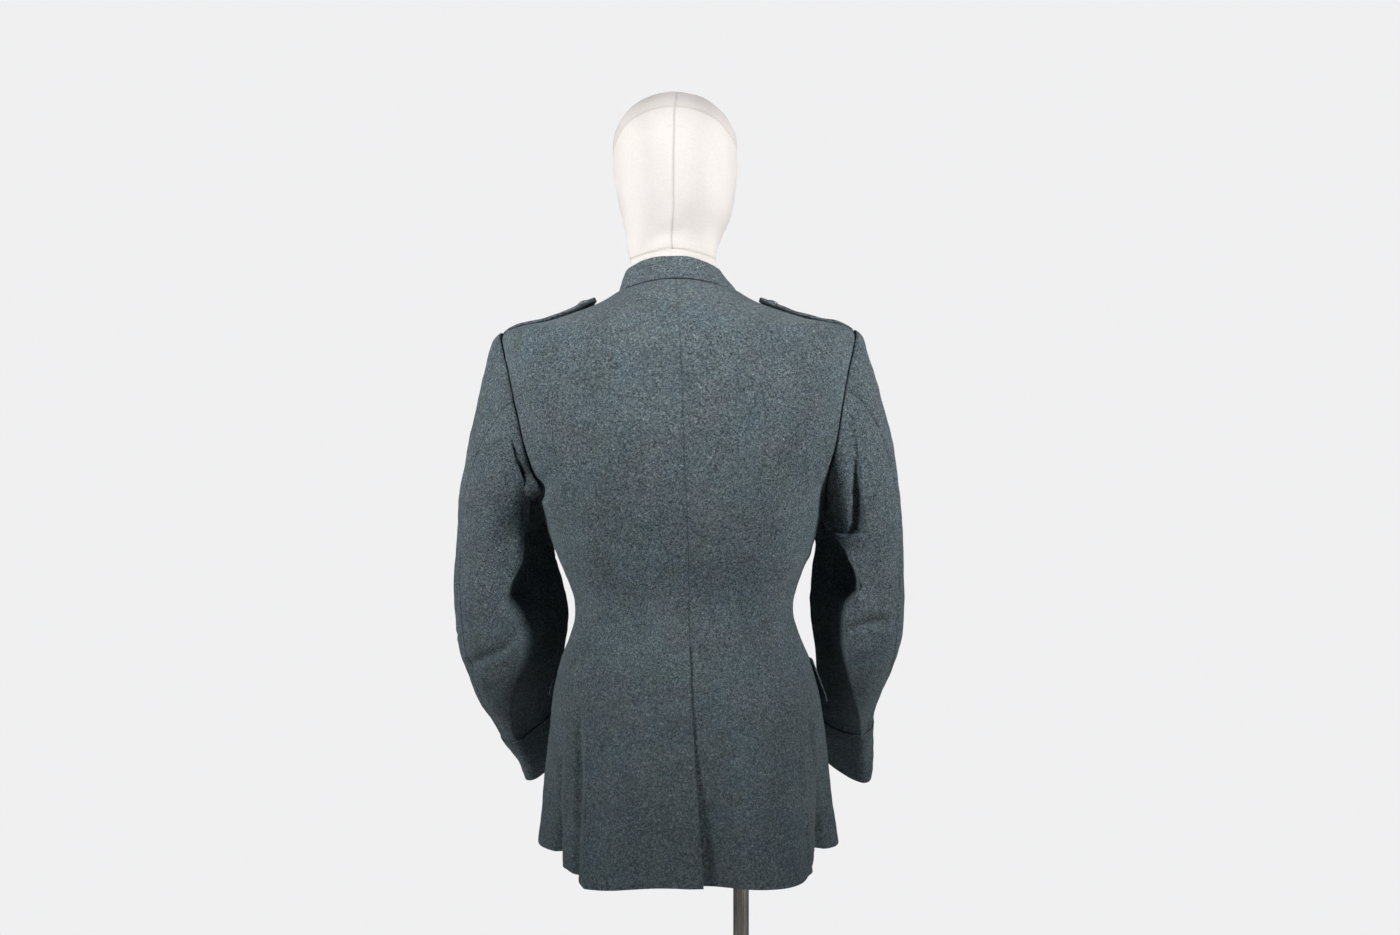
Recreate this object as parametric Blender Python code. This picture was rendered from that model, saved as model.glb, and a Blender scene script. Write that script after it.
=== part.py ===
"""A uniform jacket on a headed dress form.

Metres, +Z up. The origin is on the floor, at the centre of the stand's round base.
The jacket's front faces -Y and its wearer's left is +X.

The jacket's body is one surface, read at an angle round the body and a station up it.
Its panels, collar, flaps, straps and buttons, and the form inside, are all made from
points of that surface, moved out or in. The sleeves start from the same armholes.
"""

import math

import bpy
import numpy as np

# ---------------------------------------------------------------- driving sizes
CLOTH = 0.0022  # wall of the felted wool
SEAM = 0.0003  # gap left between neighbouring pieces
SLEEVE_SEAM = 0.00018  # gap left each side of a sleeve's seams
COLLAR_WALL = 0.0030  # two layers of cloth
STRAP_WALL = 0.0034
FLAP_WALL = 0.0026
LAP_GAP = 0.0005  # between cloth and the cloth lying on it
LEAN = 0.021  # sideways lean of form and jacket, metres per metre
LEAN_PIVOT = 1.10  # height at which the lean is nothing
NECK_SWAY = 0.0055  # how much further the neck and collar's top lean to the wearer's left
SHOULDER_DROP = 0.009  # the wearer's left shoulder hangs lower by this share of its reach

HEM = 0.805
UNDERARM = 1.238
SHOULDER_TIP = 1.449
NECKLINE = 1.606

UNDERLAY = 0.035  # width of the vent's underlay
VENT_TOP = 1.055
VENT_RECESS = 0.009  # how far the underlay sinks at the hem
VENT_FADE = 0.030
FRONT_LAP = 0.024  # each front passes the centre by this much
LAP_FADE = 0.030

# The body's rings. station: metres along the surface, the height up to the shoulder.
# half_width, back and front: reach from the centre. z_*: the ring's height there.
# square: 2 is an ellipse, more is squarer.
BODY_COLUMNS = (
    "station", "half_width", "back", "front", "z_back", "z_side", "z_front", "square",
)
BODY_RINGS = (
    (0.805, 0.193, 0.150, 0.158, 0.804, 0.801, 0.804, 2.60),
    (0.860, 0.186, 0.148, 0.153, 0.860, 0.858, 0.860, 2.50),
    (0.920, 0.179, 0.142, 0.147, 0.920, 0.920, 0.920, 2.35),
    (0.980, 0.171, 0.131, 0.141, 0.980, 0.980, 0.980, 2.20),
    (1.040, 0.156, 0.112, 0.131, 1.040, 1.040, 1.040, 2.10),
    (1.098, 0.1385, 0.093, 0.119, 1.098, 1.098, 1.098, 2.10),
    (1.150, 0.152, 0.100, 0.122, 1.150, 1.150, 1.150, 2.15),
    (1.200, 0.171, 0.113, 0.130, 1.200, 1.200, 1.200, 2.20),
    (1.238, 0.181, 0.121, 0.135, 1.238, 1.238, 1.238, 2.25),
    (1.275, 0.196, 0.125, 0.137, 1.275, 1.275, 1.272, 2.35),
    (1.312, 0.211, 0.127, 0.136, 1.312, 1.312, 1.305, 2.40),
    (1.352, 0.219, 0.125, 0.131, 1.350, 1.352, 1.340, 2.40),
    (1.392, 0.223, 0.120, 0.122, 1.386, 1.392, 1.370, 2.40),
    (1.425, 0.2245, 0.115, 0.113, 1.413, 1.426, 1.390, 2.35),
    (1.449, 0.2225, 0.110, 0.106, 1.432, 1.449, 1.403, 2.25),
    (1.489, 0.185, 0.101, 0.097, 1.455, 1.461, 1.418, 2.10),
    (1.525, 0.150, 0.090, 0.090, 1.475, 1.4705, 1.429, 2.05),
    (1.562, 0.115, 0.077, 0.083, 1.493, 1.4825, 1.438, 2.00),
    (1.588, 0.092, 0.067, 0.078, 1.505, 1.4935, 1.444, 2.00),
    (1.606, 0.077, 0.060, 0.074, 1.5125, 1.5035, 1.449, 2.00),
)

# The skirt's flutes: how far the hem stands out or in at each angle round it.
# angle: from the centre back, wearer's left positive.
FLUTE_COLUMNS = ("angle", "stand")
FLUTES = (
    (-200.0, 0.000), (-180.0, 0.000), (-160.0, 0.002), (-133.0, 0.008), (-110.0, -0.006),
    (-95.0, -0.003), (-83.0, -0.011), (-75.0, -0.032), (-67.0, -0.029), (-57.0, -0.017),
    (-47.0, 0.002), (-41.0, 0.012), (-34.0, 0.016), (-20.0, 0.006), (0.0, 0.003),
    (20.0, 0.006), (34.0, 0.018), (40.0, 0.012), (47.0, -0.007), (59.0, -0.020),
    (69.0, -0.033), (75.0, -0.026), (84.0, -0.007), (95.0, 0.001), (112.0, -0.006),
    (136.0, 0.007), (160.0, 0.000), (180.0, 0.000), (200.0, 0.000),
)
FLUTE_TOP = 1.000  # the height at which the flutes fade out
FLUTE_SAG = 0.12  # the hem rises by this share where it stands in
FLUTE_RISE = 0.08  # and at the crest of a flute it is lifted by this share

# How far the centre-back seam wanders from the middle, towards the wearer's left.
SEAM_COLUMNS = ("station", "shift")
BACK_SEAM = (
    (0.805, -0.018), (0.930, -0.012), (1.040, -0.0075), (1.170, -0.0080),
    (1.310, -0.0060), (1.410, -0.0045), (1.606, 0.0),
)

# The collar's upper edge, as a ring.
COLLAR_TOP = {
    "half_width": 0.0600, "back": 0.041, "front": 0.065,
    "z_back": 1.5430, "z_side": 1.5315, "z_front": 1.489,
}
COLLAR_BOW = -0.0005  # how far the collar bows out half way up
COLLAR_SQUARE = 0.0026  # how much higher its top is half way round to the sides
COLLAR_OPENING = 1.4  # degrees each side of the centre front

# The armhole. deep_*: how far it cuts into the back and the front, in degrees.
ARMHOLE = {"deep_back": 19.5, "deep_front": 28.0, "low": 0.30}

# Sections down each sleeve, below the cap. x is outwards from the middle.
# across and deep: half-axes of the section. roll: turns its outer edge to the back.
# slant: how far the outer edge runs on ahead, as a share of across.
SLEEVE_COLUMNS = ("x", "y", "z", "across", "deep", "roll", "slant")
SLEEVE_LEFT = (
    (0.2335, -0.004, 1.200, 0.0550, 0.060, 0.0, 0.0),
    (0.2305, -0.007, 1.140, 0.0635, 0.054, 8.0, 0.0),
    (0.2240, -0.010, 1.080, 0.0695, 0.050, 16.0, 0.0),
    (0.2240, -0.036, 1.020, 0.0615, 0.047, 24.0, 0.05),
    (0.2155, -0.074, 0.964, 0.0540, 0.038, 32.0, 0.15),
    (0.1985, -0.104, 0.922, 0.0545, 0.029, 38.0, 0.27),
    (0.1880, -0.127, 0.891, 0.0575, 0.023, 40.0, 0.34),
)
SLEEVE_RIGHT = (
    (0.2300, -0.004, 1.200, 0.0520, 0.060, 0.0, 0.0),
    (0.2265, -0.007, 1.140, 0.0565, 0.057, 6.0, 0.0),
    (0.2230, -0.010, 1.080, 0.0565, 0.056, 10.0, 0.0),
    (0.2200, -0.037, 1.020, 0.0470, 0.056, 14.0, 0.1),
    (0.2135, -0.075, 0.964, 0.0400, 0.048, 22.0, 0.2),
    (0.2100, -0.102, 0.919, 0.0460, 0.037, 30.0, 0.33),
    (0.2085, -0.124, 0.880, 0.0510, 0.027, 36.0, 0.41),
)
SLEEVE_ROWS = 7  # rows of faces below the cap
CUFF_ROWS = 2  # of them, how many the turned-back cuff covers
CUFF_FLARE = 0.0012
HEAD_ROLL = 0.0120  # how far the sleeve head stands out beyond the armhole's seam

# Hip pocket flaps, on the fronts. from_angle is the end nearer the side seam.
FLAP = {"from_angle": 94.0, "to_angle": 150.0, "top": 1.034, "bottom": 0.978,
        "gap": 0.0009, "stand": 0.0058, "corner": 0.020}
FLAP_SHIFT = {1: 0.0, -1: -9.0}  # degrees that each flap sits further round to the front

# Shoulder straps, along the ridge from the sleeve to the neck.
STRAP = {"half_width": 0.0225, "inner_half_width": 0.018}
STRAP_RISE = 0.0008  # between a strap and the shoulder
STRAP_LIFT = {1: 0.0045, -1: 0.0020}  # rise of the free end, wearer's left and right
STRAP_BUTTON = {"station": 1.558, "radius": 0.0078, "height": 0.0034}

FRONT_BUTTONS = 6
BUTTON_GAP = 0.0009  # between the front's cloth and a button's foot
FRONT_BUTTON = {"radius": 0.0105, "height": 0.0046, "top": 1.389, "bottom": 1.045}

# The dress form: below the shoulder it stands this far inside the jacket's outside.
FORM_INSETS = (
    (0.875, 0.030), (0.960, 0.022), (1.100, 0.016), (1.238, 0.012), (1.400, 0.0085),
    (1.449, 0.0075), (1.468, 0.0048), (1.489, CLOTH + LAP_GAP), (1.588, CLOTH + LAP_GAP),
)
NECK_RINGS = (  # z_back, z_side, z_front, half_width, back, front
    (1.5020, 1.4960, 1.4500, 0.0700, 0.0530, 0.0640),
    (1.5130, 1.5080, 1.4720, 0.0610, 0.0440, 0.0600),
    (1.5290, 1.5250, 1.5000, 0.0550, 0.0375, 0.0570),
    (1.5520, 1.5450, 1.5260, 0.0550, 0.0350, 0.0570),
)
HEAD_RINGS = (  # height, centre, half_width, back, front
    (1.5520, 0.000, 0.0550, 0.0350, 0.0570),
    (1.5700, -0.010, 0.0588, 0.0470, 0.0740),
    (1.5860, -0.020, 0.0640, 0.0640, 0.0860),
    (1.6120, -0.026, 0.0722, 0.0810, 0.0930),
    (1.6420, -0.030, 0.0780, 0.0930, 0.0960),
    (1.6700, -0.031, 0.0806, 0.0980, 0.0970),
    (1.6985, -0.031, 0.0807, 0.0960, 0.0950),
    (1.7180, -0.031, 0.0764, 0.0880, 0.0880),
    (1.7365, -0.031, 0.0657, 0.0740, 0.0740),
    (1.7515, -0.031, 0.0490, 0.0530, 0.0540),
    (1.7605, -0.031, 0.0280, 0.0300, 0.0300),
)
HEAD_TOP = (-0.031, 1.7640)

POLE = {"x": -0.0725, "y": 0.0, "radius": 0.010, "top": 0.872}
SOCKET = {"radius": 0.024, "height": 0.014}
BASE = {"radius": 0.200, "thickness": 0.008, "bevel": 0.003}
BOSS = {"radius": 0.020, "height": 0.030}

# ---------------------------------------------------------------- mesh resolution
PANEL_COLUMNS = 10  # from beside the middle to the panel's outer edge
BESIDE = 0.008  # width of the two columns beside the centre-back seam
ARMHOLE_ROWS = 9
ARMHOLE_STEPS = 2 * ARMHOLE_ROWS
HIND_STEP = 4  # the steps round the armhole at which the hind and fore seams start
FORE_STEP = 12
LOWER_STATIONS = (0.805, 0.850, 0.900, 0.945, 0.990, 1.035)
MIDDLE_STATIONS = (1.078, 1.110, 1.155, 1.200)
YOKE_STATIONS = (1.457, 1.468, 1.489, 1.525, 1.562, 1.588, 1.606)
STRAP_STATIONS = (1.4515, 1.457, 1.468, 1.489, 1.525, 1.562, 1.572, 1.577)
CAP_ROWS = (0.0, 0.05, 0.14, 0.30, 0.52, 0.76)
ROUND = 24  # corners of the form's and the stand's round pieces
BUTTON_ROUND = 16


# ---------------------------------------------------------------- smooth tables
def spline(stations, values, at):
    """The natural cubic curve through a table's column, read at each of `at`."""
    x, y, at = (np.asarray(v, float) for v in (stations, values, at))
    step = np.diff(x)
    count = len(x)
    system, slopes = np.eye(count), np.zeros(count)
    for i in range(1, count - 1):
        system[i, i - 1 : i + 2] = step[i - 1], 2 * (step[i - 1] + step[i]), step[i]
        slopes[i] = 6 * ((y[i + 1] - y[i]) / step[i] - (y[i] - y[i - 1]) / step[i - 1])
    bend = np.linalg.solve(system, slopes)
    k = np.clip(np.searchsorted(x, at) - 1, 0, count - 2)
    a, b, h = x[k + 1] - at, at - x[k], step[k]
    return (
        (bend[k] * a**3 + bend[k + 1] * b**3) / (6 * h)
        + (y[k] / h - bend[k] * h / 6) * a
        + (y[k + 1] / h - bend[k + 1] * h / 6) * b
    )


def column(table, names, name):
    """One named column of a table."""
    return [row[names.index(name)] for row in table]


def fade(value, start, end):
    """0 at start, 1 at end, smooth between and level beyond."""
    t = np.clip((value - start) / (end - start), 0, 1)
    return t * t * (3 - 2 * t)


# ---------------------------------------------------------------- the body's surface
def ring_point(angle, half_width, back, front, z_back, z_side, z_front, square):
    """A point of a ring. angle is in radians from the centre back, wearer's left positive."""
    across, along = np.sin(angle), np.cos(angle)
    reach = np.where(along > 0, back, front)
    radius = (
        np.abs(along / reach) ** square + np.abs(across / half_width) ** square
    ) ** (-1 / square)
    end = np.where(along > 0, z_back, z_front)
    return radius, np.stack(
        [radius * across, radius * along, z_side + (end - z_side) * along**2], -1
    )


def flute_stand(angle, station):
    """How far the skirt stands out at each point, because of its flutes."""
    degrees = np.degrees(np.angle(np.exp(1j * angle)))
    angles = column(FLUTES, FLUTE_COLUMNS, "angle")
    stand = spline(angles, column(FLUTES, FLUTE_COLUMNS, "stand"), degrees)
    return stand * np.clip((FLUTE_TOP - station) / (FLUTE_TOP - HEM), 0, 1) ** 1.3


def body(angle, station):
    """Points of the jacket's outside."""
    angle, station = np.broadcast_arrays(np.asarray(angle, float), np.asarray(station, float))
    stations = column(BODY_RINGS, BODY_COLUMNS, "station")
    sizes = [
        spline(stations, column(BODY_RINGS, BODY_COLUMNS, name), station)
        for name in BODY_COLUMNS[1:]
    ]
    radius, points = ring_point(angle, *sizes)
    stand = flute_stand(angle, station)
    points[..., :2] *= (1 + stand / radius)[..., None]
    points[..., 2] += np.where(stand > 0, FLUTE_RISE, -FLUTE_SAG) * stand
    return points


def normals_of(surface, u, v, step_u=1e-3, step_v=1e-3):
    """Unit normals of surface(u, v), on the side that du x dv points to."""
    du = surface(u + step_u, v) - surface(u - step_u, v)
    dv = surface(u, v + step_v) - surface(u, v - step_v)
    normal = np.cross(du, dv)
    return normal / np.linalg.norm(normal, axis=-1, keepdims=True)


def body_normals(angle, station):
    """Unit normals of the body, pointing out."""
    inside = np.clip(station, HEM + 2e-3, NECKLINE - 2e-3)
    return -normals_of(body, angle, inside)


def on_body(angle, station, lift):
    """Points at a distance outside (or inside, if negative) the jacket's outside."""
    return body(angle, station) + np.asarray(lift)[..., None] * body_normals(angle, station)


def radius_at(angle, station):
    """How far the body's outside is from its middle line."""
    return np.linalg.norm(body(angle, station)[..., :2], axis=-1)


def arc(length, angle, station):
    """The angle that a length round the body takes up there."""
    return length / radius_at(angle, station)


def armhole(turn, front):
    """(angle from the centre back, station) of the armhole's edge.

    turn is 0 at the underarm and pi at the shoulder's tip.
    """
    station = UNDERARM + (SHOULDER_TIP - UNDERARM) * (1 - np.cos(turn)) / 2
    deep = ARMHOLE["deep_front"] if front else ARMHOLE["deep_back"]
    cut = deep * np.sin(turn) * (1 + ARMHOLE["low"] * np.cos(turn))
    return np.radians(90 + cut if front else 90 - cut), station


# ---------------------------------------------------------------- panels
def panel_rows(front):
    """(station in the middle, station and angle at the outer edge) of each row, hem up."""
    straight = LOWER_STATIONS + (VENT_TOP - 0.003, VENT_TOP + 0.003) + MIDDLE_STATIONS
    rows = [(s, s, math.pi / 2) for s in straight]
    for k in range(ARMHOLE_ROWS + 1):
        share = k / ARMHOLE_ROWS
        middle = UNDERARM + (SHOULDER_TIP - UNDERARM) * share
        angle, station = armhole(math.pi * share, front)
        rows.append((middle, float(station), float(angle)))
    for s in YOKE_STATIONS[:-1] + (NECKLINE - SEAM,):
        rows.append((s, s, math.pi / 2))
    return rows


def back_seam_angle(station):
    """The angle of the centre-back seam."""
    shift = spline(
        column(BACK_SEAM, SEAM_COLUMNS, "station"),
        column(BACK_SEAM, SEAM_COLUMNS, "shift"),
        station,
    )
    return shift / radius_at(np.zeros_like(shift), station)


def back_lift(side, angle, station):
    """The overlap at the back vent: the right side sinks under the left."""
    if side > 0:
        return np.zeros(np.broadcast(angle, station).shape)
    seam = back_seam_angle(station)
    beside = (seam - angle) * radius_at(angle, station)
    low = 1 - fade(station, VENT_TOP + 0.003, VENT_TOP + 0.022)
    under = (CLOTH + LAP_GAP) * (1 - fade(beside, 0.0, VENT_FADE)) * low
    recess = VENT_RECESS * (1 - fade(beside, 0.0, 2 * VENT_FADE))
    return -under - recess * (1 - fade(station, HEM, VENT_TOP - 0.02))


def front_lift(side, angle, station):
    """The overlap at the front: the left side lies over the right."""
    if side < 0:
        return np.zeros(np.broadcast(angle, station).shape)
    past = (angle - math.pi) * radius_at(angle, station)
    return (CLOTH + LAP_GAP) * fade(past, -FRONT_LAP - LAP_FADE, -FRONT_LAP)


def spaced(start, end, count):
    """Evenly spaced values from start to end."""
    return start + (end - start) * np.linspace(0, 1, count)


def panel_row(row, near, side):
    """One row's (angles, stations), from the columns near the middle out to the edge."""
    middle, edge_station, edge = row
    away = math.copysign(float(arc(SEAM / 2, edge, edge_station)), math.pi / 2 - edge)
    if edge == math.pi / 2:
        away = abs(away) if abs(near[-1]) < edge else -abs(away)
    angles = near[:-1] + list(spaced(near[-1], side * (edge - away), PANEL_COLUMNS))
    share = np.clip((np.array(angles) - near[-1]) / (angles[-1] - near[-1]), 0, 1)
    return angles, list(middle + (edge_station - middle) * share**1.2)


def back_rows(side):
    """The angles and stations of a back panel's grid, from the centre out."""
    angles, stations = [], []
    for row in panel_rows(False):
        seam = float(back_seam_angle(row[0]))
        step = side * float(arc(BESIDE, 0.0, row[0]))
        lay = float(arc(UNDERLAY, 0.0, row[0]))
        near = [seam + side * float(arc(SEAM / 2, 0.0, row[0])), seam + step, seam + 2 * step]
        if side < 0 and row[0] < VENT_TOP:
            near = [seam + lay, seam + lay / 2, seam + step]
        row_angles, row_stations = panel_row(row, near, side)
        angles.append(row_angles)
        stations.append(row_stations)
    return np.array(angles), np.array(stations)


def front_rows(side):
    """The angles and stations of a front panel's grid, from past the centre front out."""
    angles, stations = [], []
    for row in panel_rows(True):
        lap = float(arc(FRONT_LAP, math.pi, row[0]))
        near = [side * a for a in (math.pi + lap, math.pi, math.pi - lap)]
        row_angles, row_stations = panel_row(row, near, side)
        angles.append(row_angles)
        stations.append(row_stations)
    return np.array(angles), np.array(stations)


# ---------------------------------------------------------------- sleeves
def sleeve_table(side):
    """The sections down the sleeve on this side."""
    return SLEEVE_LEFT if side > 0 else SLEEVE_RIGHT


def sleeve_section(side, round_, down):
    """A point of the sleeve below the cap, where down runs from 0 to 1.

    round_: 0 outside, 0.25 back, 0.5 inside and 0.75 front.
    """
    table = sleeve_table(side)
    rows = np.linspace(0, 1, len(table))
    values = {
        name: spline(rows, column(table, SLEEVE_COLUMNS, name), down)
        for name in SLEEVE_COLUMNS
    }
    ahead = {
        name: spline(rows, column(table, SLEEVE_COLUMNS, name), down + 1e-3)
        - spline(rows, column(table, SLEEVE_COLUMNS, name), down - 1e-3)
        for name in ("x", "y", "z")
    }
    centre = np.stack([values["x"], values["y"], values["z"]], -1)
    along = np.stack([ahead["x"], ahead["y"], ahead["z"]], -1)
    along /= np.linalg.norm(along, axis=-1, keepdims=True)
    out = np.array([1.0, 0.0, 0.0]) - along[..., :1] * along
    out /= np.linalg.norm(out, axis=-1, keepdims=True)
    back = np.cross(out, along)
    roll = np.radians(values["roll"])[..., None]
    major = np.cos(roll) * out + np.sin(roll) * back
    minor = np.cos(roll) * back - np.sin(roll) * out
    turn = 2 * math.pi * np.asarray(round_)
    points = (
        centre
        + (values["across"] * np.cos(turn))[..., None] * major
        + (values["deep"] * np.sin(turn))[..., None] * minor
        + (values["slant"] * values["across"] * np.cos(turn))[..., None] * along
    )
    return points * np.array([side, 1.0, 1.0])


def armhole_edge(side, round_):
    """The body's points and normals along the armhole, where the sleeve starts."""
    round_ = np.mod(round_, 1.0)
    front = round_ > 0.5
    turn = math.pi * np.abs(1 - 2 * round_)
    back_angle, back_station = armhole(turn, False)
    front_angle, front_station = armhole(turn, True)
    angle = side * np.where(front, front_angle, back_angle)
    station = np.where(front, front_station, back_station)
    return body(angle, station), body_normals(angle, station)


def cap_leaving(side, round_):
    """The direction in which the sleeve leaves the armhole."""
    turn = 2 * math.pi * np.asarray(round_)
    out = 0.37 + 0.03 * np.cos(turn)
    back = 0.10 * np.sin(turn)
    return np.stack([side * out, back, np.full_like(turn, -0.92)], -1)


def sleeve_cap(side, round_, down):
    """A point of the sleeve's cap: down is 0 at the armhole and 1 at the top section."""
    start, _ = armhole_edge(side, round_)
    end = sleeve_section(side, round_, np.zeros_like(np.asarray(round_, float)))
    below = sleeve_section(side, round_, np.full_like(np.asarray(round_, float), 0.02))
    reach = np.linalg.norm(end - start, axis=-1, keepdims=True)
    leave = cap_leaving(side, round_) * reach * 0.75
    arrive = (below - end) / np.linalg.norm(below - end, axis=-1, keepdims=True) * reach
    t = np.asarray(down)[..., None]
    top = ((1 + np.cos(2 * math.pi * round_)) / 2)[..., None]
    head = HEAD_ROLL * top * (1 - t) ** 1.5 * (1 - np.exp(-t / 0.035))
    return (
        (2 * t**3 - 3 * t**2 + 1) * start
        + (t**3 - 2 * t**2 + t) * leave
        + (3 * t**2 - 2 * t**3) * end
        + (t**3 - t**2) * arrive
        + head * np.array([side * 1.0, 0.0, 0.25])
    )


def sleeve(side, round_, down):
    """A point of the sleeve: down is 0 at the armhole, 1 below the cap and 2 at the hem."""
    round_, down = np.broadcast_arrays(np.asarray(round_, float), np.asarray(down, float))
    cap = sleeve_cap(side, round_, np.clip(down, 0, 1))
    arm = sleeve_section(side, round_, np.clip(down - 1, 0, 1))
    return np.where((down < 1)[..., None], cap, arm)


def sleeve_normals(side, round_, down):
    """Unit normals of the sleeve, pointing out of it."""
    normal = normals_of(
        lambda u, v: sleeve(side, u, v), round_, np.clip(down, 2e-3, 2 - 2e-3)
    )
    return -normal * side


def sleeve_rows():
    """Values of down for the sleeve's rows."""
    return np.array(list(CAP_ROWS) + [1 + k / SLEEVE_ROWS for k in range(SLEEVE_ROWS + 1)])


def sleeve_columns(down, upper):
    """Where the columns of the upper or under sleeve run round it, as shares of a turn."""
    steps = (0.0, 1.0, 1.5, 2.0)
    hind = spline(steps, (HIND_STEP / ARMHOLE_STEPS, 0.105, 0.060, 0.02), down)
    fore = spline(steps, (FORE_STEP / ARMHOLE_STEPS, 0.610, 0.545, 0.5), down)
    start, end = (fore, 1 + hind) if upper else (hind, fore)
    count = FORE_STEP - HIND_STEP
    share = np.linspace(0, 1, (ARMHOLE_STEPS - count if upper else count) + 1)
    return start[:, None] + (end - start)[:, None] * share


def sleeve_grid(side, upper):
    """(outer, inner) points of one half of a sleeve."""
    down = sleeve_rows()
    round_ = sleeve_columns(down, upper)
    down = np.broadcast_to(down[:, None], round_.shape)
    normal = sleeve_normals(side, round_, down)
    _, edge_normal = armhole_edge(side, round_[0])
    leave = cap_leaving(side, round_[0])
    leave /= np.linalg.norm(leave, axis=-1, keepdims=True)
    crossing = np.sum(normal[0] * leave, -1) - np.sum(edge_normal * leave, -1)
    into = np.where((crossing > 0)[:, None], edge_normal, normal[0])
    nearby = sleeve(side, round_ + 0.002, down) - sleeve(side, round_ - 0.002, down)
    girth = np.linalg.norm(nearby, axis=-1) / 0.004
    away = SLEEVE_SEAM * (1 + 2 * np.clip(1 - down, 0, 1)) / girth
    round_[:, 0] += away[:, 0]
    round_[:, -1] -= away[:, -1]
    outer = sleeve(side, round_, down)
    inner = outer - CLOTH * normal
    outer[0] = armhole_edge(side, round_[0])[0] + 1.2 * SEAM * leave
    inner[0] = outer[0] - CLOTH * into
    return outer, inner


def cuff_grid(side):
    """(outer, inner) points of the turned-back cuff, a closed ring round the sleeve's end."""
    down = sleeve_rows()[-1 - CUFF_ROWS :]
    round_ = np.hstack(
        [sleeve_columns(down, True)[:, :-1], sleeve_columns(down, False)[:, :-1]]
    )
    down = np.broadcast_to(down[:, None], round_.shape)
    normal = sleeve_normals(side, round_, down)
    flare = CUFF_FLARE * (2 - down) * SLEEVE_ROWS / CUFF_ROWS
    inner = sleeve(side, round_, down) + (LAP_GAP + flare)[..., None] * normal
    return inner + CLOTH * normal, inner


# ---------------------------------------------------------------- meshes
def material(name, colour, roughness, metallic=0.0):
    """A plain material of one colour."""
    made = bpy.data.materials.new(name)
    made.use_nodes = True
    shader = made.node_tree.nodes["Principled BSDF"]
    shader.inputs["Base Color"].default_value = (*colour, 1.0)
    shader.inputs["Roughness"].default_value = roughness
    shader.inputs["Metallic"].default_value = metallic
    return made


def leaned(points):
    """The upright points, leaned sideways with the form."""
    moved = np.array(points, float).reshape(-1, 3)
    moved[:, 2] -= SHOULDER_DROP * moved[:, 0] * fade(moved[:, 2], 1.15, 1.40)
    sway = fade(moved[:, 2], 1.500, 1.535) * (1 - fade(moved[:, 2], 1.560, 1.610))
    moved[:, 0] += LEAN * (moved[:, 2] - LEAN_PIVOT) + NECK_SWAY * sway
    return moved


def add_mesh(name, points, faces, look, lean=True, smooth=True):
    """An object from points and faces, with its faces turned to point out."""
    points = leaned(points) if lean else np.array(points, float).reshape(-1, 3)
    triangles = np.array([(f[0], f[i], f[i + 1]) for f in faces for i in range(1, len(f) - 1)])
    corners = points[triangles]
    volume = np.einsum("ij,ij->i", corners[:, 0], np.cross(corners[:, 1], corners[:, 2])).sum()
    if volume < 0:
        faces = [tuple(reversed(f)) for f in faces]
    mesh = bpy.data.meshes.new(name)
    mesh.from_pydata(points.tolist(), [], faces)
    mesh.materials.append(look)
    if smooth:
        mesh.shade_smooth()
        mesh.set_sharp_from_angle(angle=math.radians(40))
    made = bpy.data.objects.new(name, mesh)
    bpy.context.scene.collection.objects.link(made)
    return made


def split_quad(points, a, b, c, d):
    """A four-sided face as two triangles, split along its shorter diagonal."""
    if np.linalg.norm(points[a] - points[c]) <= np.linalg.norm(points[b] - points[d]):
        return [(a, b, c), (a, c, d)]
    return [(b, c, d), (b, d, a)]


def wall(name, outer, inner, look, closed=False, lean=True):
    """A thin closed solid between two grids of points, open or closed round its rows."""
    rows, columns = outer.shape[:2]
    layer = rows * columns
    points = np.concatenate([outer.reshape(-1, 3), inner.reshape(-1, 3)])

    def at(row, col, deep=0):
        return deep * layer + row * columns + col % columns

    faces = []
    for r in range(rows - 1):
        for c in range(columns if closed else columns - 1):
            quad = (at(r, c), at(r, c + 1), at(r + 1, c + 1), at(r + 1, c))
            for face in split_quad(points, *quad):
                faces += [face, tuple(corner + layer for corner in reversed(face))]
    for c in range(columns if closed else columns - 1):
        last = rows - 1
        faces += split_quad(points, at(0, c + 1), at(0, c), at(0, c, 1), at(0, c + 1, 1))
        faces += split_quad(
            points, at(last, c), at(last, c + 1), at(last, c + 1, 1), at(last, c, 1)
        )
    if not closed:
        for r in range(rows - 1):
            last = columns - 1
            faces += split_quad(points, at(r, 0), at(r + 1, 0), at(r + 1, 0, 1), at(r, 0, 1))
            faces += split_quad(
                points, at(r + 1, last), at(r, last), at(r, last, 1), at(r + 1, last, 1)
            )
    return add_mesh(name, points, faces, look, lean)


def rings_solid(name, rings, look, lean=True, tip_low=None, tip_high=None):
    """A solid through closed rings of points, closed at its ends flat or by a tip."""
    rings = np.array(rings)
    rows, columns = rings.shape[:2]
    points = rings.reshape(-1, 3)
    faces = []
    for r in range(rows - 1):
        for c in range(columns):
            low, high = r * columns, (r + 1) * columns
            d = (c + 1) % columns
            faces += split_quad(points, low + c, low + d, high + d, high + c)
    for tip, row in ((tip_low, 0), (tip_high, rows - 1)):
        ring = [row * columns + c for c in range(columns)]
        if row == 0:
            ring.reverse()
        if tip is None:
            faces.append(tuple(ring))
            continue
        points = np.vstack([points, tip])
        for c in range(columns):
            faces.append((ring[c], ring[(c + 1) % columns], len(points) - 1))
    return add_mesh(name, points, faces, look, lean)


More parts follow.
